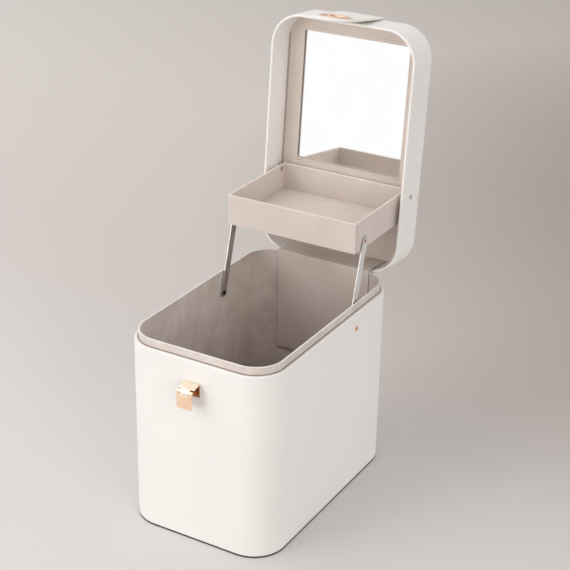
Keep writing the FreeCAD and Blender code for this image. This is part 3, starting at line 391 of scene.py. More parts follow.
# %% Metals, mirror and plastic
HINGE_STEEL = metal("hinge_steel", (196, 192, 188), (176, 172, 168), 0.24, 0.4)
ARM_STEEL = metal("arm_steel", (196, 191, 187), (178, 173, 169), 0.3, 0.44, UPRIGHT)
DARK_STEEL = metal("dark_steel", (180, 174, 168), (156, 150, 144), 0.3, 0.45)
BLACK_STEEL = metal("black_steel", (84, 76, 70), (62, 56, 52), 0.25, 0.4)
ROSE_GOLD = metal("rose_gold", (246, 212, 182), (237, 198, 166), 0.12, 0.24, UPRIGHT)
# A near-white copy of rose gold for the lock's bracket: painted glint of the light on its top.
PAINTED_GLINT_GOLD = metal("painted_glint_gold", (255, 243, 224), (250, 234, 210), 0.08, 0.2, UPRIGHT)
# A darker copy of rose gold for the hollow sides of bent sheets: painted shade.
PAINTED_SHADE_GOLD = metal("painted_shade_gold", (168, 112, 70), (140, 88, 54), 0.3, 0.45)
BRASS_SCREW = metal("brass_screw", (206, 148, 96), (184, 126, 78), 0.3, 0.45)
COPPER = metal("copper_plate", (208, 178, 158), (194, 160, 138), 0.18, 0.3)
MIRROR = smooth_finish("mirror", {"Metallic": 1.0}, (255, 255, 255), (252, 253, 253), 30.0, 0.005, 0.015)
SPACER_PLASTIC = smooth_finish("spacer_plastic", {}, (225, 222, 216), (212, 208, 201), 80.0, 0.32, 0.45)

# %% Finishes of the CAD nodes
FINISHES = {
    WHITE_COVERING: "case_shell lid_shell",
    WHITE_LEATHER: "strap_root strap_tab handle_grip",
    CASE_CLOTH: "case_liner",
    LID_CLOTH: "mirror_panel",
    TAUPE_LINING: "hinge_flap_case hinge_flap_lid hinge_flap_bridge",
    TRAY_CLOTH: "tray_shell",
    TRAY_LINING: "tray_pad",
    DARK_LINING_AND_SHADE: "floor_pad",
    BASE_BOARD: "base_cover",
    MIRROR: "mirror_glass",
    HINGE_STEEL: "hinge_leaf_case hinge_leaf_lid hinge_rivets_case hinge_rivets_lid hinge_pin",
    ARM_STEEL: "arm_left arm_right arm_screws_tray arm_washers_case arm_washers_tray lid_pivot_screws",
    SPACER_PLASTIC: "lid_pivot_spacers",
    BRASS_SCREW: "arm_screws_case",
    ROSE_GOLD: "lock_bracket lock_pin lock_rivets lock_flap strap_rivets eyelet_front eyelet_back "
               "handle_mounts handle_screws handle_caps",
}
for material, names in FINISHES.items():
    for name in names.split():
        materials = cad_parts[name].data.materials
        materials.clear()
        materials.append(material)
print("finished nodes:", len(" ".join(FINISHES.values()).split()), "of", len(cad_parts))

# %% [markdown]
# ## Surfaces from numbers
#
# Each new piece is a grid of points worked out at once with numpy. A grid can close on itself in one
# direction, as a tube does, or in both, as a ring does. Points that meet in one pole are merged.

# %% Grid helpers
def quads(rows, columns, wrap_rows=False, wrap_columns=False):
    """Faces of a grid whose point (row, column) has the number row * columns + column."""
    row, column = np.meshgrid(np.arange(rows if wrap_rows else rows - 1),
                              np.arange(columns if wrap_columns else columns - 1), indexing="ij")
    next_row, next_column = (row + 1) % rows, (column + 1) % columns
    near, far = row * columns, next_row * columns
    corners = [near + column, near + next_column, far + next_column, far + column]
    return np.stack(corners, axis=-1).reshape(-1, 4)


def piece(name, points, faces, material, sharp=40):
    """A mesh object from points in millimetres: doubles merged, normals outward, sharp edges kept."""
    mesh = bpy.data.meshes.new(name)
    mesh.from_pydata((np.asarray(points).reshape(-1, 3) * MM).tolist(), [], faces.tolist())
    work = bmesh.new()
    work.from_mesh(mesh)
    bmesh.ops.remove_doubles(work, verts=work.verts, dist=2e-6)
    bmesh.ops.recalc_face_normals(work, faces=work.faces)
    work.to_mesh(mesh)
    work.free()
    mesh.materials.append(material)
    mesh.shade_smooth()
    mesh.set_sharp_from_angle(angle=math.radians(sharp))
    return place_object(name, mesh)


def points_of(*values):
    """Points from their coordinates, each a number or an array of any fitting shape."""
    return np.stack(np.broadcast_arrays(*values), axis=-1)


def facing(turn):
    """Unit directions (cos, sin) of angles."""
    return points_of(np.cos(turn), np.sin(turn))


def full_turn(steps):
    """Angles of one full turn, evenly spaced."""
    return np.linspace(0, 2 * np.pi, steps, endpoint=False)


def grid_piece(name, grid, material, sharp=40, wrap_rows=False, wrap_columns=False):
    """A piece that is one grid of points."""
    return piece(name, grid, quads(*grid.shape[:2], wrap_rows, wrap_columns), material, sharp)


def join_grids(*grids):
    """Puts several (points, faces) grids into one, with the faces renumbered."""
    flat = [points.reshape(-1, points.shape[-1]) for points, faces in grids]
    counts = np.cumsum([0] + [len(points) for points in flat[:-1]])
    return np.concatenate(flat), np.concatenate([faces + n for (points, faces), n in zip(grids, counts)])


def round_piece(name, shapes, material, sharp=35):
    """One piece of several grids whose columns go round."""
    grids = [(shape, quads(*shape.shape[:2], wrap_columns=True)) for shape in shapes]
    return piece(name, *join_grids(*grids), material, sharp)


def rounded_loop(half_x, half_y, corner, steps):
    """Loop and outward directions round a rectangle: each corner's centre plus the corner radius
    times the cosine and sine of a quarter turn."""
    turn = np.linspace(0, np.pi / 2, steps)[None] + np.arange(4)[:, None] * np.pi / 2
    outward = facing(turn)
    signs = np.array([(1, 1), (-1, 1), (-1, -1), (1, -1)])[:, None]
    centre = signs * np.array([half_x - corner, half_y - corner])
    return (centre + corner * outward).reshape(-1, 2), outward.reshape(-1, 2)


def raise_loop(loop, outward, profile):
    """Carries (offset, height) rows round a flat loop: loop + offset * outward, at each height."""
    profile = np.asarray(profile, dtype=float)
    flat = loop + profile[:, None, :1] * outward
    return points_of(flat[..., 0], flat[..., 1], profile[:, 1:])


def thicken(made, name, thick, inside=0, rim=0):
    """Gives a sheet its thickness to both sides. Its inside and its cut rim can have a later material."""
    wall = made.modifiers.new(name, "SOLIDIFY")
    wall.thickness, wall.offset = thick * MM, 0
    wall.material_offset, wall.material_offset_rim = inside, rim


def soften(made, name, width, segments):
    """Rounds a sheet's cut edges."""
    soft = made.modifiers.new(name, "BEVEL")
    soft.width, soft.segments, soft.limit_method = width * MM, segments, "ANGLE"


def node_box(name):
    """A CAD node's lowest and highest corners in millimetres."""
    low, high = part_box(name)
    return np.array(low) / MM, np.array(high) / MM


# The lid is worked out shut, above the case, and then swung open about the hinge.
HINGE_Y, HINGE_Z = 142.2, 219.9
LID_OPEN = math.radians(94.8)


def swing_lid(points):
    """Turns shut-lid points open: a turn about the hinge line, from the front up and over to the back."""
    y, z = points[..., 1] - HINGE_Y, points[..., 2] - HINGE_Z
    return points_of(points[..., 0], HINGE_Y + y * math.cos(LID_OPEN) + z * math.sin(LID_OPEN),
                     HINGE_Z - y * math.sin(LID_OPEN) + z * math.cos(LID_OPEN))


def finish(made, nodes, body):
    """Hides the CAD nodes a piece stands for, hangs the piece on the body it rides on and prints what
    it stands for. A trim stands for no node, and a blended piece rides on no one body."""
    if nodes is not None:
        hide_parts(*nodes)
    if body:
        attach(made, body)
    print(made.name, "stands for", nodes or "no node", "with", len(made.data.polygons), "faces")


print("grid of 3 by 4 points:", len(quads(3, 4)), "faces")

# %% [markdown]
# ## Padded linings
#
# A board wrapped in suede cloth lies on the floor of the case and of the tray. Wrapping pulls the
# cloth tight at the edge and leaves it fuller in the middle, so the top is slightly crowned and the
# edge is a soft roll. Each is one outline shrunk towards its middle.

# %% Two lined boards
BOARD_GAP = 0.1


def lined_board(name, node, corner, crown, roll, material, body):
    """A flat cushion: its outline from the underside's pole, round the rolled edge, to the top's pole.
    Height above the edge = crown * (1 - share ** 2), with share 0 in the middle and 1 at the edge."""
    low, high = node_box(node)
    half = (high - low) / 2
    thick = high[2] - low[2]
    turn = np.linspace(-np.pi / 2, np.pi / 2, 9)
    section = points_of(roll * (np.cos(turn) - 1), (thick - crown) / 2 * (1 + np.sin(turn)))
    edge = raise_loop(*rounded_loop(half[0] - BOARD_GAP, half[1] - BOARD_GAP, corner, 10), section)
    share = np.linspace(1, 0, 16)[1:, None]
    top = points_of(edge[-1, :, 0] * share, edge[-1, :, 1] * share, thick - crown + crown * (1 - share ** 2))
    under = points_of(edge[0, :, 0] * share[::-1], edge[0, :, 1] * share[::-1], 0.0)
    points = np.concatenate([under, edge, top]) + np.array([*(low + high)[:2] / 2, low[2]])
    made = grid_piece(name, points, material, wrap_columns=True)
    finish(made, [node], body)


lined_board("floor_lining", "floor_pad", 30.0, 0.5, 1.0, DARK_LINING_AND_SHADE, "case")
lined_board("tray_lining", "tray_pad", 0.6, 0.4, 0.6, TRAY_LINING, "tray")

# %% [markdown]
# ## The lining cloth over the hinge
#
# One strip of suede cloth is glued down inside the case, goes over the collar, crosses to the lid and
# is glued there up to the mirror panel, and so hides the steel hinge. Its middle line is a path in the
# plane across the hinge. Its ends follow the round corners of both walls, and the slack over the hinge
# makes low folds.

# %% Hinge cloth
LINER_BACK, LINER_ROUND = 133.7, 30.7
LID_BACK, LID_ROUND = 137.0, 34.0
CLOTH_HALF, CLOTH_THICK, CLOTH_OFF = 60.0, 0.8, 0.6
GLUED_DOWN, GLUED_FROM, GLUED_TO = 129, 3.5, 34.5
ROUND_FROM, WRAP, LID_EDGE_Y, FOLD_RISE = 53.0, 0.8, 143.2, 1.1
COLUMNS, CASE_ROWS, LID_ROWS = 97, 24, 26


def corner_drop(across, radius):
    """How far a round corner's wall stands in front of the flat wall: radius - sqrt(radius^2 - past^2)."""
    past = np.clip(np.abs(across) - ROUND_FROM, 0, None)
    return radius - np.sqrt(radius ** 2 - past ** 2)


across = np.linspace(-CLOTH_HALF, CLOTH_HALF, COLUMNS)
down = np.linspace(COLLAR_TOP - GLUED_DOWN, COLLAR_TOP - WRAP, CASE_ROWS)
over = np.linspace(np.pi, np.pi / 2, 7)
case_path = np.concatenate([
    points_of(LINER_BACK - CLOTH_OFF, down),
    points_of(LINER_BACK + 0.2 + WRAP * np.cos(over), COLLAR_TOP - 0.2 + WRAP * np.sin(over))[1:],
    [[LINER_BACK + 1.2, COLLAR_TOP + CLOTH_OFF], [LINER_BACK + 2.0, COLLAR_TOP + CLOTH_OFF]]])
case_part = points_of(across, case_path[:, :1] - corner_drop(across, LINER_ROUND), case_path[:, 1:])
deep = np.linspace(GLUED_FROM, GLUED_TO, LID_ROWS)[:, None]
lid_part = swing_lid(points_of(across, LID_BACK - CLOTH_OFF - corner_drop(across, LID_ROUND), PARTING + deep))
share = np.linspace(0, 1, 9)[1:-1, None, None]
free_part = case_part[-1] * (1 - share) + lid_part[0] * share
cloth = np.concatenate([case_part, free_part, lid_part])
along = np.arange(len(cloth)) - len(case_part)
slack = np.exp(-((along - 8.0) / 9.0) ** 2)[:, None] * np.clip((along[:, None] + 1) / 4, 0, 1)
folds = 0.55 + 0.45 * np.sin(across / 9.0 + 1.3 * np.sin(across / 23.0) + along[:, None] * 0.12)
cloth[..., 2] += FOLD_RISE * slack * folds
hinge_cloth = grid_piece("hinge_cloth", cloth, TAUPE_LINING, 60)
# The cloth's cut rim is darker: painted shade along its edge.
hinge_cloth.data.materials.append(CLOTH_EDGE_SHADE)
thicken(hinge_cloth, "cloth thickness", CLOTH_THICK, rim=1)
finish(hinge_cloth, ["hinge_flap_case", "hinge_flap_bridge", "hinge_flap_lid"], None)
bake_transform(hinge_cloth)

# %% [markdown]
# ## The strap
#
# A leather strap is riveted to the lid's top, turns down over its front edge and ends in a rounded tab
# with an oval metal eyelet. The flat cut is worked out first: rings of points from the oval hole out to
# the tab's outline, and a strip from there to the rivets. The cut is then laid along a curve: flat over
# the lid, a tight turn, and a straight hang.

# %% The strap's path and cut
STRAP_HALF, STRAP_THICK, STRAP_ROUND = 26.5, 2.2, 22.0
STRAP_END, STRAP_BACK = 85.8, 36
BEND_Y = -CASE_HALF_Y - 1.7
FOLD_FROM, FOLD_RUN = 6.6, 5.6
BOW_FROM, BOW = 20, -0.0004
EYELET_AT, LEAN = 61.5, math.radians(4.2)
TAB_FROM = EYELET_AT - 26
HOLE_X, HOLE_Y = 16.25, 11.0
STRAP_COLUMNS = 25


def oval(half_x, half_y, turn, power=2.6):
    """A squarish oval: distance from its middle = (|cos / a|^n + |sin / b|^n) ^ (-1 / n)."""
    reach = (np.abs(np.cos(turn) / half_x) ** power + np.abs(np.sin(turn) / half_y) ** power) ** (-1 / power)
    return points_of(reach * np.cos(turn), reach * np.sin(turn))


def strap_place(across, along, lift=0.0):
    """Lays (across, along) on the strap's path. Its direction turns smoothly from level to the hang,
    and the place is the running sum of the direction."""
    s = np.linspace(-45, 95, 5601)
    bow = BOW * np.clip(s - BOW_FROM, 0, None)
    fold = np.clip((s + FOLD_FROM) / FOLD_RUN, 0, 1)
    angle = np.pi + (np.pi / 2 - LEAN) * fold * fold * (3 - 2 * fold) + bow
    step = s[1] - s[0]
    y, z = np.cumsum(np.cos(angle)) * step, np.cumsum(np.sin(angle)) * step
    bend = np.searchsorted(s, 0.0)
    y, z = y - y[bend] + BEND_Y, z - z[0] + LID_TOP + STRAP_THICK / 2
    py, pz, tilt = [np.interp(along, s, values) for values in (y, z, angle - np.pi / 2)]
    return swing_lid(points_of(across, py + lift * np.cos(tilt), pz + lift * np.sin(tilt)))


across = np.linspace(STRAP_HALF, -STRAP_HALF, STRAP_COLUMNS)
top_edge = points_of(across, TAB_FROM)
left_edge = points_of(-STRAP_HALF, np.linspace(TAB_FROM, STRAP_END - STRAP_ROUND, 10))
left_corner = (np.array([-STRAP_HALF + STRAP_ROUND, STRAP_END - STRAP_ROUND])
               + STRAP_ROUND * facing(np.linspace(np.pi, np.pi / 2, 14)))
half_loop = np.concatenate([left_edge[1:], left_corner[1:]])
outline = np.concatenate([top_edge, half_loop, (half_loop * [-1, 1])[::-1]])
from_hole = outline - [0, EYELET_AT]
hole = oval(HOLE_X, HOLE_Y, np.arctan2(from_hole[:, 1], from_hole[:, 0]))
share = np.linspace(0, 1, 9)[:, None, None] ** 1.2
rings = hole * (1 - share) + from_hole * share + [0, EYELET_AT]
strip_along = np.concatenate([np.linspace(TAB_FROM, 0, 14), np.linspace(-0.6, -7.2, 14),
                              np.linspace(-9, -STRAP_BACK, 10)])
strip = points_of(across, strip_along[:, None])
flat, faces = join_grids((rings, quads(*rings.shape[:2], wrap_columns=True)),
                         (strip, quads(*strip.shape[:2])))
strap = piece("strap_leather", strap_place(flat[:, 0], flat[:, 1]), faces, WHITE_LEATHER, 50)
thicken(strap, "leather thickness", STRAP_THICK)
soften(strap, "pared edge", 0.55, 3)
finish(strap, ["strap_root", "strap_tab"], None)
start, end = strap_place(0.0, np.array([-3.0, 4.0])) * MM
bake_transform(strap)

# %% The eyelet
MOUTH_X, MOUTH_Y = 15.25, 10.0
turn = full_turn(72)
mouth = oval(MOUTH_X, MOUTH_Y, turn)
beside = np.roll(mouth, -1, axis=0) - np.roll(mouth, 1, axis=0)
outward = points_of(beside[:, 1], -beside[:, 0]) / np.linalg.norm(beside, axis=1)[:, None]
roll = np.linspace(np.pi, 0, 11)
# The section is a round bead in front, a shank through the hole and a flatter bead behind.
front = points_of(2.0 + 2.0 * np.cos(roll), 1.25 + 0.95 * np.sin(roll))
back = points_of(1.75 - 1.75 * np.cos(roll[::-1]), -1.25 - 0.8 * np.sin(roll))[::-1]
section = np.concatenate([front, [[3.95, 1.12], [1.0, 1.12], [1.0, -1.12], [3.45, -1.12]], back])
place = mouth + section[:, None, :1] * outward
ring = strap_place(place[..., 0], place[..., 1] + EYELET_AT, section[:, 1:])
eyelet = grid_piece("strap_eyelet", ring, COPPER, 50, True, True)
finish(eyelet, ["eyelet_front", "eyelet_back"], "strap")

# %% [markdown]
# ## The handle's grip
#
# The grip is leather sewn round a padded core and arched between two metal ends. Its section is a
# squarish oval, fuller in the middle of the arch and drawn in at the ends. A raised seam runs along
# the underside, with stitches on both sides of it.

# %% Padded grip
SPAN_HALF, PIVOT_UP = 62.0, 7.5
GRIP_REACH, GRIP_RISE, GRIP_COLUMNS = 54.35, 27.0, 56
GRIP_HALF_X, GRIP_HALF_Y, RIDGE_RISE = 6.0, 4.5, 0.35
ARCH = (GRIP_REACH ** 2 + GRIP_RISE ** 2) / (2 * GRIP_RISE)


def grip_place(angle, across, out):
    """A place on the arch, shut: out from the arch's middle line, turned by the angle from its top."""
    reach, middle = ARCH + out, LID_TOP + PIVOT_UP + GRIP_RISE - ARCH
    return swing_lid(points_of(across, reach * np.sin(angle), middle + reach * np.cos(angle)))


arch_end = math.asin(GRIP_REACH / ARCH)
angle = np.linspace(-arch_end, arch_end, 81)[:, None]
turn = full_turn(GRIP_COLUMNS)
share = np.abs(angle) / arch_end
swell = 0.94 + 0.06 * (1 - share ** 2) - 0.09 * np.clip((share - 0.93) / 0.07, 0, 1) ** 2
ring = oval(GRIP_HALF_X, GRIP_HALF_Y, turn, 3.0)
ridge = RIDGE_RISE * np.exp(-((turn - 1.5 * np.pi) / 0.16) ** 2)
rows = grip_place(angle, ring[:, 0] * swell, ring[:, 1] * swell - ridge * (share < 0.97))
ends = rows[[0, -1]].mean(axis=1, keepdims=True).repeat(GRIP_COLUMNS, axis=1)
grip_rows = np.concatenate([ends[:1], rows, ends[1:]])
grip = grid_piece("handle_leather", grip_rows, WHITE_LEATHER, 60, wrap_columns=True)
finish(grip, ["handle_grip"], "handle")

# %% Stitches of the grip
THREAD, STITCH_HALF, STITCH_ASIDE, STITCH_OUT = 0.28, 0.95, 1.75, -4.28
centre = np.linspace(-arch_end * 0.9, arch_end * 0.9, 36)[:, None, None, None]
aside = np.array([-STITCH_ASIDE, STITCH_ASIDE])[:, None, None]
along = np.array([-1.0, -0.8, 0.0, 0.8, 1.0])[:, None]
thick = np.array([0.0, 0.7, 1.0, 0.7, 0.0])[:, None] * THREAD
around = full_turn(6)
threads = grip_place(centre + along * STITCH_HALF / ARCH, aside + thick * np.cos(around),
                     STITCH_OUT - 0.1 * (along ** 2 < 0.9) + thick * np.sin(around)).reshape(-1, 5, 6, 3)
finish(round_piece("handle_stitches", threads, WHITE_LEATHER, 40), None, "handle")

# %% [markdown]
# ## The bracket lock
#
# The bracket and its hanging plate are bent from polished sheet. A sheet's middle line is a path of
# straight runs joined by bends, carried across its width. The bracket narrows to a tongue that curls
# over the pin, and the plate's two lugs curl round the same pin beside it. Solidify gives the sheet its
# thickness and Bevel breaks its edges.

# %% Bent sheets
LOCK_Y, LOCK_Z = -153.6, 188.3
CURL = 1.5
BRACKET_HALF, TONGUE_HALF = 9.5, 5.2


def bend_path(corners, radii, steps=7):
    """Corners joined by straight runs. Each inner corner is the curve
    (1 - t)^2 a + 2 t (1 - t) corner + t^2 b between two points a and b on its runs."""
    corners = np.asarray(corners, dtype=float)
    rows = [corners[:1]]
    share = np.linspace(0, 1, steps)[:, None]
    for before, corner, after, radius in zip(corners, corners[1:], corners[2:], radii):
        a = corner + (before - corner) / np.linalg.norm(before - corner) * radius
        b = corner + (after - corner) / np.linalg.norm(after - corner) * radius
        rows.append((1 - share) ** 2 * a + 2 * share * (1 - share) * corner + share ** 2 * b)
    return np.concatenate(rows + [corners[-1:]])


def curl(first, last, steps=16):
    """Points round the pin: pin + curl radius * (cos, sin) from the first to the last angle in degrees."""
    turn = np.radians(np.linspace(first, last, steps))
    return np.array([LOCK_Y, LOCK_Z]) + CURL * facing(turn)


def across_sheet(half, inner, middle, steps):
    """Places across a sheet: a band at each side, and one between them."""
    return np.concatenate([np.linspace(-half, -inner, steps), np.linspace(-middle, middle, 12),
                           np.linspace(inner, half, steps)])


def sheet_metal(name, grid, keep, thick, edge, nodes, body, outside):
    """A sheet of the grid's faces whose middle (x, y, z) is to be kept, with its thickness to both
    sides and softened edges. Its hollow side is a darker gold: painted shade."""
    faces = quads(*grid.shape[:2])
    faces = faces[keep(*grid.reshape(-1, 3)[faces].mean(axis=1).T)]
    made = piece(name, grid, faces, outside, 50)
    made.data.materials.append(PAINTED_SHADE_GOLD)
    thicken(made, "sheet thickness", thick, inside=1)
    soften(made, "broken edges", edge, 2)
    finish(made, nodes, body)


tongue = curl(115, 275)
wall_y = -CASE_HALF_Y - 0.65
path = bend_path([(wall_y, LOCK_Z - 10.2), (wall_y, LOCK_Z + 5.2), (LOCK_Y + 3.2, LOCK_Z + 2.7), tongue[0]],
                 [1.8, 1.0])
path = np.concatenate([path, tongue[1:]])
across = across_sheet(BRACKET_HALF, TONGUE_HALF, 4.6, 6)
# The bracket is the paler gold: a painted glint.
sheet_metal("lock_bracket_sheet", points_of(across, path[:, :1], path[:, 1:]),
            lambda x, y, z: (y > LOCK_Y + 2.9) | (np.abs(x) < TONGUE_HALF),
            1.2, 0.25, ["lock_bracket"], "case", PAINTED_GLINT_GOLD)

# %% Hanging plate
PLATE_HALF, PLATE_DROP, PLATE_ROUND = 9.25, 19.0, 2.3
WINDOW_DROP, LUG_FROM, WINDOW_EDGE = 3.6, 5.7, 5.2
lug = curl(-40, 180, 20)
across = across_sheet(PLATE_HALF, LUG_FROM, WINDOW_EDGE, 7)
past = np.clip(np.abs(across) - PLATE_HALF + PLATE_ROUND, 0, None)
foot = LOCK_Z - PLATE_DROP + PLATE_ROUND - np.sqrt(PLATE_ROUND ** 2 - past ** 2)
share = np.linspace(0, 1, 14)[1:, None]
window = LOCK_Z - WINDOW_DROP
hang_z = np.concatenate([LOCK_Z - np.linspace(0, WINDOW_DROP, 5)[1:, None] + 0 * foot,
                         window * (1 - share) + foot * share])
curled, hang = points_of(across, lug[:, :1], lug[:, 1:]), points_of(across, LOCK_Y - CURL, hang_z)
sheet_metal("lock_plate", np.concatenate([curled, hang]),
            lambda x, y, z: (z < window) & (y < LOCK_Y - 1.4) | (np.abs(x) > 5.6),
            1.0, 0.2, ["lock_flap"], "lock_flap", ROSE_GOLD)

# %% [markdown]
# ## Screws and rivets
#
# A screw is turned: its outline, from the middle of its head along the shank to its other end, goes
# once round its axis. The heads are low domes with a driver's cross pressed in. Rivets are the same
# without the cross. The case's screws end inside the lining in dark nuts.

# %% Turned pieces
DOME_ROWS = 18
HEAD, HEAD_RISE, CROSS = 2.8, 0.95, 1.9
NUT_FACE, LID_END, TRAY_FACE, TRAY_END = 80.9, 78.1, 83.2, 78.3


def dome(radius, rise, rows=DOME_ROWS):
    """Outline of a head from its middle to its rim: height = rise * sqrt(1 - 0.9 * (r / radius)^2)."""
    reach = np.linspace(0, radius, rows)
    return points_of(reach, rise * np.sqrt(1 - 0.9 * (reach / radius) ** 2))


def turned(outline, cross=0.0, steps=48):
    """Turns (radius, height) rows once round the axis: (r cos, r sin, height). A driver's cross is
    pressed in close to two crossing lines, near the axis."""
    turn = full_turn(steps)
    r, h = outline[:, :1], outline[:, 1:]
    u, v = r * np.cos(turn), r * np.sin(turn)
    near = np.exp(-(np.minimum(np.abs(u), np.abs(v)) / 0.28) ** 4) * (np.hypot(u, v) < cross)
    top = np.arange(len(outline))[:, None] < DOME_ROWS
    return points_of(u, v, h - 0.55 * near * top)


def pin_outline(head, rise, shank, length, end_head=0.0, end_rise=0.0):
    """Outline of a headed pin: dome, rim, shank down the length, and an end head or a flat end."""
    rows = [dome(head, rise), [(head, 0.0), (shank, 0.0), (shank, -length), (end_head, -length)]]
    if end_head:
        rows += [dome(end_head, end_rise, 10)[::-1] * [1, -1] + [0, -length]]
    return np.concatenate(rows)


def both_sides(name, outline, cross, face_x, place, material, nodes, body):
    """The same screw on both sides at a (y, z) place, its axis across the case."""
    shape, (y, z) = turned(outline, cross), place
    right = points_of(face_x + shape[..., 2], y + shape[..., 0], z + shape[..., 1])
    finish(round_piece(name, [right * [side, 1, 1] for side in (-1, 1)], material), nodes, body)


both_sides("case_arm_screws", pin_outline(HEAD, HEAD_RISE, 2.0, CASE_HALF_X - NUT_FACE), CROSS, CASE_HALF_X,
           CASE_SCREW, BRASS_SCREW, ["arm_screws_case"], "case")
both_sides("case_arm_nuts", pin_outline(HEAD, 0.8, 1.6, 0.6) * [1, -1], CROSS, NUT_FACE,
           CASE_SCREW, BLACK_STEEL, [], "case")
both_sides("lid_tray_screws", pin_outline(HEAD, HEAD_RISE, 1.75, CASE_HALF_X - LID_END, HEAD, 0.8), CROSS,
           CASE_HALF_X, LID_SCREW, DARK_STEEL, ["lid_pivot_screws"], "lid")
both_sides("tray_arm_screws", pin_outline(1.8, 0.24, 1.5, TRAY_FACE - TRAY_END, HEAD, 0.9), 1.4, TRAY_FACE,
           TRAY_SCREW, BRASS_SCREW, ["arm_screws_tray"], "tray")


def on_lid(name, outline, cross, places, node):
    """The same rivet or screw at several (x, y, height) places on the shut lid, swung open."""
    shape = turned(outline, cross)
    made = round_piece(name, [swing_lid(shape + np.array(place)) for place in places], ROSE_GOLD)
    finish(made, [node], "lid")


RIVET_X, RIVET_Y = 18.0, -117.6
on_lid("strap_rivet_heads", pin_outline(2.6, 1.0, 1.2, 2.2), 0.0,
       [(side * RIVET_X, RIVET_Y, LID_TOP + STRAP_THICK) for side in (-1, 1)], "strap_rivets")

# %% [markdown]
# ## Feet and ends of the handle
#
# The handle's feet and end pieces are cast and polished, with no sharp edge. A flat cast shape is an
# outline raised through a quarter round at each face. A foot is a plate with an upright ear, and an
# end piece is round at the pivot and square where the leather goes in.

# %% Cast shapes
FOOT_THICK, EAR_HALF, EAR_BASE = 1.6, 2.5, -PIVOT_UP + 0.6


def cast(loop, outward, low, high, edge=0.6):
    """Rows of a flat shape with rounded edges: inset = edge * (1 - sin) while rise = edge * (1 - cos).
    Both faces close at the outline's middle."""
    turn = np.linspace(0, np.pi / 2, 5)
    inset, rise = edge * (np.sin(turn) - 1), edge * (1 - np.cos(turn))
    profile = np.concatenate([points_of(inset, low + rise), points_of(inset, high - rise)[::-1]])
    rows = raise_loop(loop, outward, profile)
    ends = points_of(*loop.mean(axis=0), np.repeat([[low], [high]], len(loop), axis=1))
    return np.concatenate([ends[:1], rows, ends[1:]])


def arc_loop(arcs, steps=14):
    """An outline of arcs, each (middle across, middle up, radius, first and last angle in degrees):
    middle + radius * (cos, sin)."""
    arcs = np.asarray(arcs, dtype=float)
    turn = np.radians(arcs[:, 3:4] + (arcs[:, 4:5] - arcs[:, 3:4]) * np.linspace(0, 1, steps)[None])
    outward = facing(turn)
    return (arcs[:, None, :2] + arcs[:, None, 2:3] * outward).reshape(-1, 2), outward.reshape(-1, 2)


def upright(rows, end):
    """Stands a flat shape up from the pivot at one end of the handle, its thickness along the handle."""
    return points_of(rows[..., 0], end * rows[..., 2], LID_TOP + PIVOT_UP + rows[..., 1])


plate = cast(*rounded_loop(11.0, 7.0, 2.2, 8), LID_TOP, LID_TOP + FOOT_THICK, 0.5)
ear = cast(*arc_loop([(0, 0, 4.5, 0, 180), (-4.3, EAR_BASE, 0.2, 180, 270), (4.3, EAR_BASE, 0.2, 270, 360)]),
           SPAN_HALF - EAR_HALF, SPAN_HALF + EAR_HALF, 0.7)
tongue_end = cast(*arc_loop([(0, 0, 5.6, 180, 360), (3.2, 10.1, 2.4, 0, 90), (-3.2, 10.1, 2.4, 90, 180)]),
                  GRIP_REACH, GRIP_REACH + 2 * EAR_HALF, 0.9)
pivot = turned(pin_outline(2.0, 0.7, 2.0, 6.4)) + [0, 0, SPAN_HALF + EAR_HALF]
feet, end_pieces = [], []
for end in (-1, 1):
    feet += [swing_lid(plate + [0, end * SPAN_HALF, 0]), swing_lid(upright(ear, end))]
    end_pieces += [swing_lid(upright(tongue_end, end)), swing_lid(upright(pivot, end))]
finish(round_piece("handle_feet", feet, ROSE_GOLD, 40), ["handle_mounts"], "lid")
finish(round_piece("handle_end_pieces", end_pieces, ROSE_GOLD, 40), ["handle_caps"], "handle")

# %% Screws of the feet
FOOT_HEAD = 2.6
low, high = node_box("handle_screws")
foot_x = (high[0] - low[0]) / 2 - FOOT_HEAD
on_lid("handle_foot_screws", pin_outline(FOOT_HEAD, 1.0, 1.2, 4.0), 1.7,
       [(side * foot_x, end * SPAN_HALF, LID_TOP + FOOT_THICK) for side in (-1, 1) for end in (-1, 1)],
       "handle_screws")

# %% [markdown]
# ## Edges and joints of the linings
#
# The mirror lies in a recess of the padded panel. The panel's cloth rolls over the recess's edge in a
# fine lip, and at both sides of the glass a dark strip is painted shade on the recess's walls. A fine
# dark line of painted shadow runs round the foot of the lining's collar, and a dark band under the case.
# The tray's cloth is rolled over the top of its walls, and the rolled rim is a lighter cloth, a painted
# highlight. All but the strips are small sections carried round a rectangle.

# %% Painted shade on the sides of the recess
WALL, SEAT_GAP, PANEL_DEPTH = 3.0, 0.1, 7.0
PANEL_FACE = LID_TOP - WALL - SEAT_GAP - PANEL_DEPTH
GLASS_X, GLASS_Y, GLASS_MIDDLE_Y, GLASS_CORNER = 67.0, 77.0, -42.5, 1.5
run = np.array([(0.05, 3.1), (0.05, 1.9), (0.12, 1.9), (0.12, 3.1)])
ends = np.array([-GLASS_Y + GLASS_CORNER, GLASS_Y - GLASS_CORNER]) + GLASS_MIDDLE_Y
strip = points_of(GLASS_X - run[:, :1], ends, PANEL_FACE + run[:, 1:])
strips = [(swing_lid(strip * [side, 1, 1]), quads(4, 2, True)) for side in (-1, 1)]
# Dark strips of painted shade on the recess's side walls.
finish(piece("mirror_side_shade", *join_grids(*strips), DARK_LINING_AND_SHADE, 50), None, "lid")

# %% Sections carried round
def edging(name, rectangle, section, material, body, middle_y=0.0, closed=True, sharp=50):
    """A section of (offset, height) rows carried round a rectangle of (half x, half y, corner, steps)."""
    rows = raise_loop(*rounded_loop(*rectangle), section) + np.array([0, middle_y, 0])
    if body == "lid":
        rows = swing_lid(rows)
    finish(grid_piece(name, rows, material, sharp, closed, True), None, body)


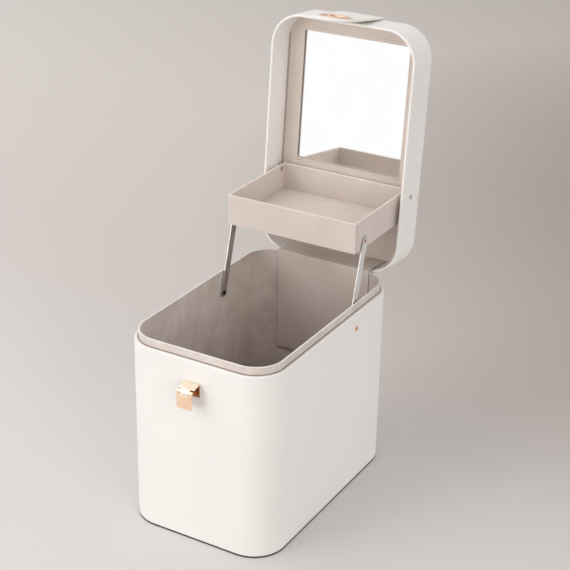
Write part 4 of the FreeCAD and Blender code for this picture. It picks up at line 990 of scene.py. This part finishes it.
COLLAR = (85.7, 135.7, 32.7, 14)
turn = full_turn(12)
lip = points_of(0.55 + 0.75 * np.cos(turn), PANEL_FACE + 0.1 + 0.5 * np.sin(turn))
edging("mirror_lip", (GLASS_X, GLASS_Y, GLASS_CORNER, 6), lip, TAUPE_LINING, "lid",
       GLASS_MIDDLE_Y, sharp=60)
low, high = PARTING + 0.02, PARTING + 0.5
# A thin dark ring of painted shadow round the collar's foot.
edging("collar_foot_shade_line", COLLAR, [(0.02, low), (0.3, low), (0.3, high), (0.02, high)],
       DARK_LINING_AND_SHADE, "case")
edging("foot_band", (CASE_HALF_X, CASE_HALF_Y, CASE_CORNER, 14),
       [(-0.9, 0.1), (-0.25, 0.1), (-0.25, 1.5), (-0.9, 1.5)], BASE_BOARD, "case")

# %% Rolled rim of the tray
RIM_OUT, RIM_IN, RIM_ROLL = 0.1, 1.0, 0.55
low, high = node_box("tray_shell")
turn = np.linspace(-0.15 * np.pi, 1.15 * np.pi, 12)
roll = points_of(-RIM_IN + (RIM_IN + RIM_OUT) * np.cos(turn), high[2] - 0.1 + RIM_ROLL * np.sin(turn))
# The rim's cloth is lighter than the tray's: painted highlight.
edging("tray_rim", (*(high - low)[:2] / 2, 1.2, 6), roll, RIM_CLOTH_HIGHLIGHT, "tray",
       (low[1] + high[1]) / 2, closed=False, sharp=60)

# %% [markdown]
# ## The room
#
# The floor is one wide plane with painted light and shade. Its colour drifts from light on the left to
# darker on the right, has painted shade round one spot behind on the right, and is tinted behind the
# case, warmer and darker near by and lighter far off.
# The world is a far wall for the camera and even light for all else. Bright metal and glass would
# mirror an empty room, so for glossy and transmitted rays the floor and the world are plain white.

# %% Floor and world
FLOOR_HALF = 9.0
# The floor's colours and the spot hold painted light and shade.
TO_RIGHT, PAINTED_SHADE_SPOT = (0.85, 0.52, 0.0), (0.45, 1.25, 0.0)
FLOOR_LEFT, FLOOR_RIGHT, FLOOR_PAINTED_SHADE = srgb(240, 238, 235), srgb(191, 186, 182), srgb(158, 151, 146)
TINT_NEAR, TINT_FAR = (0.97, 0.92, 0.89, 1.0), (1.07, 1.02, 0.98, 1.0)
FAR_WALL, AIR, AIR_STRENGTH = srgb(206, 198, 193), srgb(250, 250, 252), 0.7


def white_to_gloss(tree, surface, output):
    """Shows a white glow to glossy and transmitted rays, and the real surface to all others."""
    rays = add(tree, "LightPath").outputs
    bent = math_node(tree, "MAXIMUM", rays["Is Glossy Ray"], rays["Is Transmission Ray"])
    glow = add(tree, "Emission", {"Color": (1, 1, 1, 1), "Strength": 1.0})
    mixed = add(tree, "MixShader", {0: bent, 1: surface, 2: glow.outputs[0]})
    feed(tree, tree.nodes[output], Surface=mixed.outputs[0])


floor_painted_light, tree, shader = new_material("floor_painted_light", {"Roughness": 0.9, "Specular IOR Level": 0.1})
place = own_place(tree)
# Painted light and shade on the floor: lighter on the left, darker on the right, painted shade round one spot
# behind on the right, and lighter far off.
drift = between(tree, vector_node(tree, "DOT_PRODUCT", place, TO_RIGHT), 0.0, 1.0, -1.3, 1.3)
paint = mix(tree, drift, FLOOR_LEFT, FLOOR_RIGHT)
dim = between(tree, vector_node(tree, "DISTANCE", place, PAINTED_SHADE_SPOT), 0.8, 0.0, 0.4, 1.15)
dimmed = mix(tree, dim, paint, FLOOR_PAINTED_SHADE)
back = add(tree, "SeparateXYZ", {0: place}).outputs["Y"]
tint = mix(tree, between(tree, back, 0.0, 1.0, 0.5, 1.2), TINT_NEAR, TINT_FAR)
toned = mix(tree, between(tree, back, 0.0, 1.0, 0.0, 0.32), dimmed, tint, "MULTIPLY")
feed(tree, shader, Base_Color=toned)
white_to_gloss(tree, shader.outputs[0], "Material Output")

corners = np.array([(-1, -1, 0), (1, -1, 0), (1, 1, 0), (-1, 1, 0)]) * FLOOR_HALF
floor_mesh = bpy.data.meshes.new("floor")
floor_mesh.from_pydata(corners.tolist(), [], [(0, 1, 2, 3)])
floor_mesh.materials.append(floor_painted_light)
floor = place_object("floor", floor_mesh)
floor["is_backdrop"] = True

world = bpy.data.worlds.new("studio")
scene.world = world
world.use_nodes = True
tree = world.node_tree
air = tree.nodes["Background"]
air.inputs["Color"].default_value = AIR
air.inputs["Strength"].default_value = AIR_STRENGTH
far_wall = add(tree, "Background", {"Color": FAR_WALL, "Strength": 1.0})
seen = add(tree, "LightPath").outputs["Is Camera Ray"]
sky = add(tree, "MixShader", {0: seen, 1: air.outputs[0], 2: far_wall.outputs[0]})
white_to_gloss(tree, sky.outputs[0], "World Output")
print("floor", 2 * FLOOR_HALF, "m wide")

# %% [markdown]
# ## The lamps
#
# A lamp that is large as seen from the object throws no hard shadow edge. Four large square lamps
# light the case: the key at the front left, a lower one in front, one above, and a fill at the right.
# The rest is the even light of the world.

# %% Lamps
COOL, WARM = (0.985, 0.99, 1.0), (1.0, 0.99, 0.98)
# name: (place, target, side in metres, power in watts, colour)
LAMPS = {
    "key": ((-1.8, -2.2, 2.0), (0.0, 0.0, 0.25), 1.8, 15.0, COOL),
    "front": ((-1.2, -2.9, 0.75), (0.0, 0.1, 0.28), 1.2, 19.5, COOL),
    "top": ((-1.1, -0.5, 2.4), (0.0, 0.0, 0.3), 1.7, 11.5, WARM),
    "fill": ((2.3, -1.3, 1.2), (0.0, 0.0, 0.25), 1.5, 14.5, WARM),
}
for name, (where, target, size, power, colour) in LAMPS.items():
    data = bpy.data.lights.new(name, "AREA")
    data.size, data.energy, data.color = size, power, colour
    lamp = place_object(name, data)
    lamp.location = where
    lamp.rotation_euler = (Vector(target) - Vector(where)).to_track_quat("-Z", "Y").to_euler()
print("lamps:", list(LAMPS))

low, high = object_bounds()
print("visual box from", tuple(low), "to", tuple(high))
